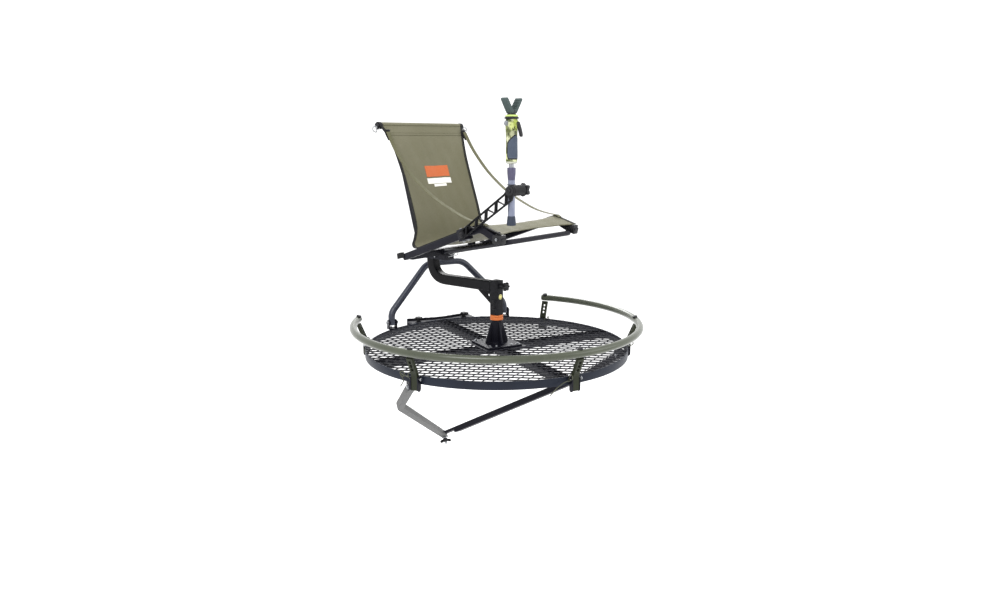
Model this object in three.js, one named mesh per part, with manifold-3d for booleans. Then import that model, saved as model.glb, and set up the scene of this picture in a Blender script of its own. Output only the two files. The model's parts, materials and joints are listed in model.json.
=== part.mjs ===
import * as THREE from 'three';
import { mergeVertices } from 'three/addons/utils/BufferGeometryUtils.js';
import Module from 'manifold-3d';

// Hang-on tree stand with a turning sling seat, in millimetres. +Z is up and the tree is on the +Y side.
// The origin is on the seat post's axis, level with the top edge of the round deck.
// Right and left are those of a hunter who sits facing away from the tree, so right is -X on the deck.

const gap = 0.4; // between pieces that touch
const sides = { round: 12, small: 8, deck: 64 };

const deck = { radius: 508, wall: 4.6, height: 30, meshThickness: 3.2, beamWidth: 38, hubHalf: 85 };
const diamond = { pitchX: 142, pitchY: 90, halfLength: 58, halfWidth: 35 };
const base = {
  half: 75, top: 7, socketRadius: 22, boreRadius: 17.4, socketTop: 98, gussetReach: 48, gussetWidth: 6,
};
const bushing = { radius: 25.5, bottom: 98.4, top: 117.6 };
const spindle = { radius: 16.9, bottom: 22 };
const treeSide = { halfWidth: 150, flatHalf: 30, flatY: 532, endY: 556, plateTop: -2, plateThickness: 8 };
const toothBar = { thickness: 5, bottom: -28, top: 6, toothHeight: 6, teeth: 5 };
const treeKnob = { x: 110, y: 523 };
const rail = {
  radius: 549, height: 86, tube: 13.5, middleAngle: 272.75, spanAngle: 251.5, posts: 5, overhang: 1.4,
};
const post = { radius: 519, width: 25, depth: 12, bottom: -50, bend: 5, topRadius: 546.5, top: 69.2 };
const railPin = { z: -9, radius: 3, lift: 20 };
const arch = { footX: 268, y: 432, pivot: 28, bendZ: 67, shoulderX: 84, top: 265, tube: 14, lean: 11.3 };
const brace = { x: 440, y: -205, z: -52, fall: 34.33, tube: 25, apex: 870, elbow: [413, 235] };
const seatYaw = 22.5;
const arm = { tube: 40, z: 228, back: -335, top: 308.5, postHalf: 19, postTop: 252 };
const seat = { halfWidth: 222, tube: 25, rearX: -255, rearZ: 345, slingHalf: 203 };
const back = { pivotX: -258, pivotZ: 372, barX: -389, barZ: 836, halfWidth: 238, tube: 9.5, uprightY: 150 };
const rest = {
  clampX: 36, clampZ: 451.7, pivotX: 46, pivotZ: 453, hubX: 262, hubZ: 616, armY: -246, thickness: 10,
  rise: 34.3, length: 264, rootHalf: 15, tipHalf: 18, rim: 5, bays: 7, firstBay: 14,
};
const pole = {
  x: 245, y: -218, bottom: 497, tube: 12, bore: 9.7, inner: 9.2,
  collarTop: 692, handleFoot: 705, handleTop: 858,
};
const stickClamp = { x: 260, radius: 18, near: -238, far: -178 };

const wasm = await Module();
wasm.setup();

// ---- materials ----

function finish(color, roughness, metalness) {
  return new THREE.MeshStandardMaterial({ color, roughness, metalness });
}

const darkPaint = finish(0x25242c, 0.5, 0.4);
const oliveRail = finish(0x565a47, 0.4, 0.5);
const olivePost = finish(0x4a4f3c, 0.55, 0.4);
const greyPaint = finish(0x6b6c6c, 0.55, 0.3);
const orangePlastic = finish(0xe8762d, 0.45, 0);
const blackPlastic = finish(0x17171a, 0.5, 0);
const oliveFabric = finish(0x7d7a63, 0.9, 0);
const zincSteel = finish(0x8d8f90, 0.35, 0.9);
const silverTube = finish(0x9aa0ae, 0.35, 0.7);
const leafPlastic = finish(0xb3bd7e, 0.5, 0);
const greenRubber = finish(0x2c3a34, 0.8, 0);

// ---- shape helpers ----

const vec = (x, y, z) => new THREE.Vector3(x, y, z);
const radians = (degrees) => THREE.MathUtils.degToRad(degrees);

function group(parent, place = [0, 0, 0], turn = [0, 0, 0]) {
  const made = new THREE.Group();
  made.position.set(...place);
  made.rotation.set(...turn.map(radians));
  parent.add(made);
  return made;
}

function addPiece(parent, name, geometry, material) {
  const mesh = new THREE.Mesh(geometry, material);
  mesh.name = name;
  parent.add(mesh);
  return mesh;
}

function toSolid(geometry) {
  const plain = geometry.clone();
  plain.deleteAttribute('normal');
  plain.deleteAttribute('uv');
  const merged = mergeVertices(plain, 1e-4);
  const vertProperties = new Float32Array(merged.attributes.position.array);
  const triVerts = new Uint32Array(merged.index.array);
  return new wasm.Manifold(new wasm.Mesh({ numProp: 3, vertProperties, triVerts }));
}

function toGeometry(solid) {
  const { vertProperties, triVerts } = solid.getMesh();
  const geometry = new THREE.BufferGeometry();
  geometry.setAttribute('position', new THREE.Float32BufferAttribute(vertProperties, 3));
  geometry.setIndex([...triVerts]);
  geometry.computeVertexNormals();
  return geometry;
}

function join(first, ...others) {
  return toGeometry(others.reduce((sum, next) => sum.add(toSolid(next)), toSolid(first)));
}

function cut(first, ...tools) {
  return toGeometry(tools.reduce((rest, tool) => rest.subtract(toSolid(tool)), toSolid(first)));
}

// A box from its lowest to its highest corner.
function block(low, high) {
  const size = high.map((value, axis) => value - low[axis]);
  const centre = high.map((value, axis) => (value + low[axis]) / 2);
  return new THREE.BoxGeometry(...size).translate(...centre);
}

// A rod between two places on a line parallel to an axis.
function rod(axis, radius, from, to, centre = [0, 0, 0], count = sides.round) {
  const geometry = new THREE.CylinderGeometry(radius, radius, to - from, count);
  geometry.translate(0, (from + to) / 2, 0);
  if (axis === 'x') geometry.rotateZ(-Math.PI / 2);
  if (axis === 'z') geometry.rotateX(Math.PI / 2);
  return geometry.translate(...centre);
}

// A turned piece about the Z axis; the profile runs anticlockwise as [radius, height].
function turned(profile, count = sides.round) {
  const points = profile.map(([radius, height]) => new THREE.Vector2(radius, height));
  return new THREE.LatheGeometry(points, count).rotateX(Math.PI / 2);
}

function outline(points, holes = []) {
  const shape = new THREE.Shape(points.map(([x, y]) => new THREE.Vector2(x, y)));
  shape.holes = holes.map((hole) => new THREE.Path(hole.map(([x, y]) => new THREE.Vector2(x, y))));
  return shape;
}

function circlePoints(radius, count, centre = [0, 0]) {
  return Array.from({ length: count }, (unused, index) => {
    const angle = (index / count) * 2 * Math.PI;
    return [centre[0] + radius * Math.cos(angle), centre[1] + radius * Math.sin(angle)];
  });
}

// A plate that lies flat, from a plan outline.
function flatPlate(points, bottom, top, holes = []) {
  const options = { depth: top - bottom, bevelEnabled: false };
  const geometry = new THREE.ExtrudeGeometry(outline(points, holes), options);
  return geometry.translate(0, 0, bottom);
}

// A plate that stands on edge: its outline is in X and Z, and its thickness is along Y.
function standingPlate(points, thickness, y = 0, holes = []) {
  const options = { depth: thickness, bevelEnabled: false };
  const geometry = new THREE.ExtrudeGeometry(outline(points, holes), options);
  return geometry.translate(0, 0, -thickness / 2).rotateX(Math.PI / 2).translate(0, y, 0);
}

// The same plate turned a quarter, so that its outline is in Y and Z and its thickness is along X.
function crossPlate(points, thickness, x = 0, holes = []) {
  return standingPlate(points, thickness, 0, holes).rotateZ(Math.PI / 2).translate(x, 0, 0);
}

// An upright ear with a round end at the given height; hole is the radius of its pin hole.
function earPoints(half, low, pivot, roundUp = true) {
  const arc = Array.from({ length: 7 }, (unused, index) => {
    const angle = (index / 6) * Math.PI;
    return [half * Math.cos(angle), pivot + (roundUp ? 1 : -1) * half * Math.sin(angle)];
  });
  return roundUp ? [[-half, low], [half, low], ...arc] : [...arc, [-half, low], [half, low]].reverse();
}

// A route whose samples sit exactly on its own points, with mitred directions at each.
class Route extends THREE.Curve {
  constructor(points) {
    super();
    this.points = points;
    this.last = points.length - 1;
  }

  getPoint(t, target = new THREE.Vector3()) {
    const place = Math.min(Math.max(t, 0), 1) * this.last;
    const index = Math.min(Math.floor(place), this.last - 1);
    return target.lerpVectors(this.points[index], this.points[index + 1], place - index);
  }

  getPointAt(u, target) {
    return this.getPoint(u, target);
  }

  getTangentAt(u, target = new THREE.Vector3()) {
    const index = Math.round(u * this.last);
    const arrive = Math.max(index, 1);
    const leave = Math.min(index, this.last - 1);
    const before = this.points[arrive].clone().sub(this.points[arrive - 1]).normalize();
    const after = this.points[leave + 1].clone().sub(this.points[leave]).normalize();
    return target.copy(before.add(after).normalize());
  }
}

// Corner points joined by straight runs and bends, each bend starting a set distance from its corner.
function bentRoute(corners, reach, steps = 4) {
  const points = [corners[0]];
  for (let index = 1; index < corners.length - 1; index += 1) {
    const corner = corners[index];
    const start = corner.clone().add(corners[index - 1].clone().sub(corner).setLength(reach));
    const end = corner.clone().add(corners[index + 1].clone().sub(corner).setLength(reach));
    points.push(...new THREE.QuadraticBezierCurve3(start, corner, end).getPoints(steps));
  }
  points.push(corners[corners.length - 1]);
  return points;
}

function sweep(section, points) {
  const extrudePath = new Route(points);
  const options = { steps: points.length - 1, bevelEnabled: false, extrudePath };
  return new THREE.ExtrudeGeometry(outline(section), options);
}

const roundSection = (radius, count = sides.round) => circlePoints(radius, count);
const boxSection = (width, depth) => [
  [-width / 2, -depth / 2], [width / 2, -depth / 2], [width / 2, depth / 2], [-width / 2, depth / 2],
];

// A closed skin through rings of points, each ring going the same way round.
function loft(rings) {
  const count = rings[0].length;
  const positions = rings.flat().flatMap((point) => [point.x, point.y, point.z]);
  const index = [];
  for (let ring = 0; ring < rings.length - 1; ring += 1) {
    for (let side = 0; side < count; side += 1) {
      const here = ring * count + side;
      const next = ring * count + ((side + 1) % count);
      index.push(here, next, next + count, here, next + count, here + count);
    }
  }
  const end = (rings.length - 1) * count;
  for (let side = 1; side < count - 1; side += 1) {
    index.push(0, side + 1, side);
    index.push(end, end + side, end + side + 1);
  }
  const geometry = new THREE.BufferGeometry();
  geometry.setAttribute('position', new THREE.Float32BufferAttribute(positions, 3));
  geometry.setIndex(index);
  geometry.computeVertexNormals();
  return geometry;
}

// A star-shaped hand knob about Z with its stud, from the stud's foot up.
function starKnob(radius, studFoot, hubFoot, gripFoot, top, studRadius = 4) {
  const lobes = 6;
  const star = Array.from({ length: lobes * 2 }, (unused, index) => {
    const angle = (index / (lobes * 2)) * 2 * Math.PI;
    const reach = index % 2 === 0 ? radius : radius * 0.74;
    return [reach * Math.cos(angle), reach * Math.sin(angle)];
  });
  const stud = rod('z', studRadius, studFoot, top - 1, [0, 0, 0], sides.small);
  const hub = rod('z', radius * 0.5, hubFoot, gripFoot + 1);
  return join(flatPlate(star, gripFoot, top), hub, stud);
}

// ---- deck ----

const stand = new THREE.Group();

function makeDeck() {
  const inner = deck.radius - deck.wall;
  const foot = [inner, -deck.height];
  const wall = [foot, [deck.radius, -deck.height], [deck.radius, 0], [inner, 0], foot];
  addPiece(stand, 'deck_rim', turned(wall, sides.deck), darkPaint);

  const meshTop = -gap;
  const meshBottom = meshTop - deck.meshThickness;
  const hubHole = deck.hubHalf + gap;
  const holes = [[[-hubHole, -hubHole], [-hubHole, hubHole], [hubHole, hubHole], [hubHole, -hubHole]]];
  const rows = Math.ceil((2 * deck.radius) / diamond.pitchY);
  for (let row = -2 * rows; row <= 2 * rows; row += 1) {
    for (let column = -4; column <= 4; column += 1) {
      const x = (column + (row % 2 === 0 ? 0 : 0.5)) * diamond.pitchX;
      const y = (row * diamond.pitchY) / 2;
      const { halfLength, halfWidth } = diamond;
      const hole = [[x - halfLength, y], [x, y + halfWidth], [x + halfLength, y], [x, y - halfWidth]];
      const insideRim = hole.every(([px, py]) => Math.hypot(px, py) < inner - 10);
      const clearOfHub = Math.max(Math.abs(x) - halfLength, Math.abs(y) - halfWidth) > hubHole + 4;
      if (insideRim && clearOfHub) holes.push(hole);
    }
  }
  const disc = circlePoints(inner - 2 * gap, sides.deck);
  addPiece(stand, 'deck_mesh', flatPlate(disc, meshBottom, meshTop, holes), darkPaint);

  const beamTop = meshBottom - gap;
  const half = deck.beamWidth / 2;
  const reach = inner - 2;
  const lengthwise = block([-half, -reach, -deck.height], [half, reach, beamTop]);
  const crosswise = block([-reach, -half, -deck.height], [reach, half, beamTop]);
  addPiece(stand, 'deck_beams', join(lengthwise, crosswise), darkPaint);

  const hubHalf = deck.hubHalf;
  const hubPlate = block([-hubHalf, -hubHalf, beamTop + gap], [hubHalf, hubHalf, 0]);
  addPiece(stand, 'deck_hub_plate', hubPlate, darkPaint);
}

// The welded foot of the seat post: base plate, socket tube and four gussets.
function makePostBase() {
  const plate = block([-base.half, -base.half, gap], [base.half, base.half, base.top]);
  const socket = rod('z', base.socketRadius, base.top - 1, base.socketTop);
  const bore = rod('z', base.boreRadius, base.top, base.socketTop + 5);
  const gussets = [0, 90, 180, 270].map((angle) => {
    const inner = base.boreRadius + 1;
    const low = base.top - 1;
    const corner = [[inner, low], [base.gussetReach, low], [inner, 92]];
    return standingPlate(corner, base.gussetWidth).rotateZ(radians(angle));
  });
  addPiece(stand, 'post_base', cut(join(plate, socket, ...gussets), bore), darkPaint);

  const ring = [
    [base.boreRadius, bushing.bottom], [bushing.radius, bushing.bottom],
    [bushing.radius, bushing.top], [base.boreRadius, bushing.top], [base.boreRadius, bushing.bottom],
  ];
  addPiece(stand, 'swivel_bushing', turned(ring, 20), orangePlastic);
}

// The plate and the toothed bar that meet the trunk, with two hand knobs that clamp the tree strap.
function makeTreeSide() {
  const { halfWidth, flatHalf, flatY, endY, plateTop, plateThickness } = treeSide;
  const clear = deck.radius + 2 * gap;
  const sweepAngle = Math.asin(halfWidth / clear);
  const front = Array.from({ length: 9 }, (unused, index) => {
    const angle = Math.PI / 2 + sweepAngle * (1 - index / 4);
    return [clear * Math.cos(angle), clear * Math.sin(angle)];
  });
  const rear = [[halfWidth, endY], [flatHalf, flatY], [-flatHalf, flatY], [-halfWidth, endY]];
  const studHoles = [-1, 1].map((side) => circlePoints(4.6, sides.small, [side * treeKnob.x, treeKnob.y]));
  const plate = flatPlate([...front, ...rear], plateTop - plateThickness, plateTop, studHoles);
  addPiece(stand, 'tree_plate', plate, darkPaint);

  const flank = (side) => {
    const points = [];
    for (let tooth = 0; tooth < toothBar.teeth * 2; tooth += 1) {
      const share = tooth / (toothBar.teeth * 2);
      const x = flatHalf + (halfWidth - flatHalf) * share;
      const y = flatY + (endY - flatY) * share;
      const bite = tooth % 2 === 1 ? toothBar.toothHeight : 0;
      points.push([side * x, y + gap + toothBar.thickness + bite]);
    }
    points.push([side * halfWidth, endY + gap + toothBar.thickness]);
    return points;
  };
  const near = rear.map(([x, y]) => [x, y + gap]);
  const bar = [...near.reverse(), ...flank(1).reverse(), ...flank(-1)];
  addPiece(stand, 'tree_tooth_bar', flatPlate(bar, toothBar.bottom, toothBar.top), darkPaint);

  for (const [name, side] of [['right', -1], ['left', 1]]) {
    const place = group(stand, [side * treeKnob.x, treeKnob.y, plateTop + gap]);
    addPiece(place, `tree_knob_${name}`, starKnob(17, -18, 0, 8, 19), blackPlastic);
  }
}

// The clevis, pin and foot of the arch at each side, and the arch itself.
function makeArch() {
  const earGap = 2 * arch.tube + 1;
  const earThickness = 4;
  const earReach = earGap / 2 + earThickness;
  const pinHole = rod('x', 4.4, -30, 30, [0, 0, arch.pivot], sides.small);
  for (const [name, side] of [['right', -1], ['left', 1]]) {
    const place = group(stand, [side * arch.footX, arch.y, 0]);
    const ears = [-1, 1].map((hand) => {
      const ear = earPoints(13, gap + 2, arch.pivot);
      return crossPlate(ear, earThickness, hand * (earGap + earThickness) / 2);
    });
    const foot = block([-earReach, -18, gap], [earReach, 18, 5]);
    addPiece(place, `arch_clevis_${name}`, cut(join(foot, ...ears), pinHole), darkPaint);
    const shank = rod('x', 4, -22, 24, [0, 0, arch.pivot], sides.small);
    const head = rod('x', 7, -26, -earReach - gap, [0, 0, arch.pivot], 6);
    addPiece(place, `arch_pin_${name}`, join(shank, head), zincSteel);
  }

  const leaning = group(stand, [0, arch.y, arch.pivot], [-arch.lean, 0, 0]);
  const foot = 12;
  const corners = [
    vec(-arch.footX, 0, -foot), vec(-arch.footX, 0, arch.bendZ - arch.pivot),
    vec(-arch.shoulderX, 0, arch.top - arch.pivot), vec(arch.shoulderX, 0, arch.top - arch.pivot),
    vec(arch.footX, 0, arch.bendZ - arch.pivot), vec(arch.footX, 0, -foot),
  ];
  const tube = sweep(roundSection(arch.tube), bentRoute(corners, 30));
  const holes = [-1, 1].map((side) => rod('x', 4.5, -20, 20, [side * arch.footX, 0, 0], sides.small));
  addPiece(leaning, 'arch_tube', cut(tube, ...holes), darkPaint);
}

// ---- foot rail ----

function makeFootRail() {
  const first = rail.middleAngle - rail.spanAngle / 2;
  const steps = 36;
  const points = Array.from({ length: steps + 1 }, (unused, index) => {
    const share = index / steps;
    const angle = radians(first - rail.overhang + (rail.spanAngle + 2 * rail.overhang) * share);
    return vec(rail.radius * Math.cos(angle), rail.radius * Math.sin(angle), rail.height);
  });
  addPiece(stand, 'foot_rail_tube', sweep(roundSection(rail.tube, 10), points), oliveRail);

  const cheekInner = post.width / 2 + 0.6;
  const cheek = 4;
  const outer = 527;
  const inside = deck.radius + 1.5 * gap;
  const footRadius = (outer - inside) / 2;
  const roundFoot = Array.from({ length: 7 }, (unused, index) => {
    const angle = Math.PI * (1 + index / 6);
    return [inside + footRadius + footRadius * Math.cos(angle), -45 + footRadius * Math.sin(angle)];
  });
  for (let index = 0; index < rail.posts; index += 1) {
    const angle = first + (rail.spanAngle * index) / (rail.posts - 1);
    const place = group(stand, [0, 0, 0], [0, 0, angle]);
    const name = index + 1;

    const cheekPoints = [...roundFoot, [outer, -4], [inside + 4, 0], [inside, 0]];
    const cheeks = [-1, 1].map((side) => standingPlate(cheekPoints, cheek, side * (cheekInner + cheek / 2)));
    const web = block([inside, -cheekInner - 1, -34], [inside + 3, cheekInner + 1, 0]);
    const pinHole = rod('y', railPin.radius + 0.4, -30, 30, [post.radius, 0, railPin.z], sides.small);
    addPiece(place, `rail_bracket_${name}`, cut(join(web, ...cheeks), pinHole), darkPaint);

    const bend = vec(post.radius, 0, post.bend);
    const route = [vec(post.radius, 0, post.bottom), bend, vec(post.topRadius, 0, post.top)];
    const bar = sweep(boxSection(post.width, post.depth), bentRoute(route, 8, 3));
    const slotTop = railPin.z + railPin.radius + 0.5;
    const slotBottom = railPin.z - railPin.radius - 0.5 - railPin.lift;
    const slot = block([post.radius - 3.6, -20, slotBottom], [post.radius + 3.6, 20, slotTop]);
    const windows = [0.3, 0.52, 0.74].map((share) => {
      const centre = vec(post.radius, 0, post.bend).lerp(vec(post.topRadius, 0, post.top), share);
      return block([centre.x - 15, -5, centre.z - 5], [centre.x + 15, 5, centre.z + 5]);
    });
    addPiece(place, `rail_post_${name}`, cut(bar, slot, ...windows), olivePost);

    const pin = rod('y', railPin.radius, -22, 24, [post.radius, 0, railPin.z], sides.small);
    const head = rod('y', 6, 23, 27, [post.radius, 0, railPin.z], sides.small);
    addPiece(place, `rail_pin_${name}`, join(pin, head), zincSteel);
  }
}

// ---- lower brace ----

function makeBrace() {
  for (const [name, side] of [['right', -1], ['left', 1]]) {
    const place = group(stand, [side * brace.x, brace.y, brace.z]);
    const plateTop = -deck.height - gap - brace.z;
    const inner = brace.tube / 2 + 0.6;
    const ear = earPoints(14, plateTop - 1, 0, false);
    const ears = [-1, 1].map((hand) => crossPlate(ear, 2.4, hand * (inner + 1.2)));
    const plate = block([-inner - 2.4, -14, plateTop - 3], [inner + 2.4, 14, plateTop]);
    const pin = rod('x', 4, -17, 17, [0, 0, 0], sides.small);
    addPiece(place, `brace_bracket_${name}`, join(plate, ...ears, pin), darkPaint);
  }

  const plane = group(stand, [0, brace.y, brace.z], [-brace.fall, 0, 0]);
  const half = brace.tube / 2;
  const [elbowX, elbowY] = brace.elbow;
  const lap = 62;
  for (const [name, side, material] of [['right', -1, greyPaint], ['left', 1, darkPaint]]) {
    const apex = vec(0, brace.apex, 0);
    const elbow = vec(side * elbowX, elbowY, 0);
    const beyond = apex.clone().sub(elbow).setLength(20);
    const x = side * brace.x;
    const corners = [vec(x, -9, 0), vec(x, 34, 0), elbow, apex.clone().add(beyond)];
    const tube = sweep(boxSection(brace.tube, brace.tube), bentRoute(corners, 14, 3));
    const pivot = rod('x', 4.6, -30, 30, [side * brace.x, 0, 0], sides.small);
    const keepsUpper = side === 1;
    const low = keepsUpper ? -half - 1 : -gap / 2;
    const high = keepsUpper ? gap / 2 : half + 1;
    const halving = block([-lap, brace.apex - lap, low], [lap, brace.apex + lap, high]);
    const boltHole = rod('z', 5.5, -30, 30, [0, brace.apex, 0], sides.small);
    addPiece(plane, `brace_arm_${name}`, cut(tube, pivot, halving, boltHole), material);
  }
  const shank = rod('z', 5, -44, 30, [0, brace.apex, 0], sides.small);
  const head = rod('z', 9, 24, 32, [0, brace.apex, 0], 6);
  addPiece(plane, 'brace_bolt', join(shank, head), zincSteel);
  const nut = rod('z', 9, -34, -18, [0, brace.apex, 0]);
  const wings = block([-26, brace.apex - 3, -34], [26, brace.apex + 3, -22]);
  const nutBore = rod('z', 5.4, -50, 0, [0, brace.apex, 0], sides.small);
  addPiece(plane, 'brace_wing_nut', cut(join(nut, wings), nutBore), blackPlastic);
}

// ---- turning arm. In the seat's frame X is forward, Y is to the sitter's left and Z is up ----

const seatFrame = group(stand, [0, 0, 0], [0, 0, seatYaw - 90]);

function makeSwingArm() {
  const bottom = bushing.top + 2 * gap;
  addPiece(seatFrame, 'swivel_spindle', rod('z', spindle.radius, spindle.bottom, bottom - gap), zincSteel);
  const half = arm.postHalf;
  addPiece(seatFrame, 'arm_post', block([-half, -half, bottom], [half, half, arm.postTop]), darkPaint);

  const start = -half - gap;
  const corners = [vec(start, 0, arm.z), vec(arm.back, 0, arm.z), vec(arm.back, 0, arm.top)];
  const tube = sweep(boxSection(38, arm.tube), bentRoute(corners, 68, 6));
  const under = arm.z - arm.tube / 2;
  const webPoints = [[start, 150], [start, under + 2], [-92, under + 2], [-92, under - 2]];
  const web = standingPlate(webPoints.reverse(), 6, 0, [circlePoints(5, sides.small, [-38, 190])]);
  addPiece(seatFrame, 'swing_arm', join(tube, web), darkPaint);

  const knobPlace = group(seatFrame, [half + gap, 0, 232], [0, 90, 0]);
  addPiece(knobPlace, 'post_lock_knob', starKnob(18, 0, 12, 20, 34), blackPlastic);
}

// ---- seat ----

function makeSeat() {
  const head = block([-354, -24, arm.top + gap], [-242.9, 24, seat.rearZ - seat.tube / 2 - gap]);
  addPiece(seatFrame, 'seat_head', head, darkPaint);

  const half = seat.tube / 2;
  const sideInner = seat.halfWidth - half;
  const bar = block(
    [seat.rearX - half, -sideInner + gap, seat.rearZ - half],
    [seat.rearX + half, sideInner - gap, seat.rearZ + half],
  );
  const ears = [-1, 1].flatMap((side) => [-1, 1].map((hand) => {
    const ear = earPoints(10, seat.rearZ + half - 2, back.pivotZ).map(([x, z]) => [x + back.pivotX, z]);
    return standingPlate(ear, 3, side * back.uprightY + hand * (back.tube + 2.1));
  }));
  addPiece(seatFrame, 'rear_bar', join(bar, ...ears), darkPaint);

  for (const [name, side] of [['right', -1], ['left', 1]]) {
    const y = side * seat.halfWidth;
    const route = [[-268, 343], [62, 461], [118, 478], [172, 452], [212, 438]];
    const corners = route.map(([x, z]) => vec(x, y, z));
    const tube = sweep(boxSection(seat.tube, seat.tube), bentRoute(corners, 18, 3));
    addPiece(seatFrame, `side_tube_${name}`, tube, darkPaint);
  }

  const corners = [vec(-238, -34, 345), vec(205, -197, 433), vec(205, 197, 433), vec(-238, 34, 345)];
  addPiece(seatFrame, 'seat_base_frame', sweep(roundSection(9.5), bentRoute(corners, 26)), darkPaint);

  const profile = [[-212, 384], [-130, 388], [-40, 413], [50, 452], [112, 474], [168, 462], [204, 462]];
  const slingRows = profile.map(([x, z]) => [x, z, seat.slingHalf]);
  addPiece(seatFrame, 'seat_sling', softPanel(slingRows, 6, false), oliveFabric);
}

// A slab of fabric through rows of [forward, height, half width]; upright panels are thick along X.
function softPanel(rows, thickness, upright) {
  const along = upright ? vec(thickness / 2, 0, 0) : vec(0, 0, thickness / 2);
  const rings = rows.map(([x, z, halfWidth]) => {
    const right = vec(x, -halfWidth, z);
    const left = vec(x, halfWidth, z);
    const low = [right.clone().sub(along), left.clone().sub(along)];
    return [...low, left.clone().add(along), right.clone().add(along)];
  });
  return loft(rings);
}

function makeBack() {
  const y = back.uprightY;
  const uprights = [-1, 1].map((side) => {
    const foot = vec(back.pivotX - 1, side * y, back.pivotZ - 6);
    const head = vec(back.barX, side * y, back.barZ);
    return sweep(roundSection(back.tube, sides.round), [foot, head]);
  });
  const bar = rod('y', back.tube, -back.halfWidth, back.halfWidth, [back.barX, 0, back.barZ]);
  addPiece(seatFrame, 'back_frame', join(bar, ...uprights), darkPaint);

  const strapRoute = [
    [-352, 812], [-310, 745], [-246, 672], [-187, 622], [-117, 575],
    [-45, 540], [20, 514], [75, 501], [128, 495],
  ];
  const rows = [
    [-371, 835, 232], [-350, 785, 210], [-326, 717, 197], [-294, 625, 192],
    [-260, 520, 192], [-240, 445, 197], [-236, 412, 204],
  ];
  addPiece(seatFrame, 'back_sling', softPanel(rows, 6, true), oliveFabric);

  for (const [name, side] of [['right', -1], ['left', 1]]) {
    const points = strapRoute.map(([x, z]) => vec(x, side * 217, z));
    addPiece(seatFrame, `side_strap_${name}`, sweep(boxSection(20, 3), points), oliveFabric);
  }
}

// ---- rest arm with its clamp and the shooting stick ----

function makeRestArm() {
  const slope = 19.7;
  const clampHalf = { along: 19, across: 18, up: 21 };
  const channel = 13;
  const clampPlace = group(seatFrame, [rest.clampX, -seat.halfWidth, rest.clampZ], [0, -slope, 0]);
  const clampBody = block(
    [-clampHalf.along, -clampHalf.across, -clampHalf.up], [clampHalf.along, clampHalf.across, clampHalf.up],
  );
  const clampHole = block([-40, -channel, -channel], [40, channel, channel]);
  addPiece(clampPlace, 'rest_clamp', cut(clampBody, clampHole), darkPaint);

  const { length, rootHalf, tipHalf, firstBay } = rest;
  const armPlace = group(seatFrame, [rest.pivotX, rest.armY, rest.pivotZ], [0, -rest.rise, 0]);
  const bayLength = (length - 10 - firstBay) / rest.bays;
  const holes = Array.from({ length: rest.bays }, (unused, bay) => {
    const middle = firstBay + (bay + 0.5) * bayLength;
    const reach = bayLength * 0.8;
    const tip = (bay % 2 === 0 ? 1 : -1) * (rootHalf + ((tipHalf - rootHalf) * middle) / length - rest.rim);
    return drawnIn([[middle - reach, -tip], [middle + reach, -tip], [middle, tip]]);
  });
  const body = [[-12, -rootHalf], [length, -tipHalf], [length, tipHalf], [-12, rootHalf]];
  const lattice = cut(
    standingPlate(body, rest.thickness), ...holes.map((hole) => standingPlate(hole, 30)),
  );
  const climb = radians(rest.rise);
  const [right, up] = [rest.hubX - rest.pivotX, rest.hubZ - rest.pivotZ];
  const hub = [
    right * Math.cos(climb) + up * Math.sin(climb), up * Math.cos(climb) - right * Math.sin(climb),
  ];
  const nose = standingPlate(circlePoints(17, 14, hub), rest.thickness);
  addPiece(armPlace, 'rest_arm', join(lattice, nose), darkPaint);
}

// Draws a triangle in towards its centre to leave bars between neighbours; it ends anticlockwise.
function drawnIn(corners) {
  const share = [0.72, 0.86];
  const centre = [0, 1].map((axis) => corners.reduce((sum, point) => sum + point[axis], 0) / 3);
  const pull = (value, axis) => centre[axis] + (value - centre[axis]) * share[axis];
  const points = corners.map((point) => point.map(pull));
  return points[2][1] > points[0][1] ? points : points.reverse();
}

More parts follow.
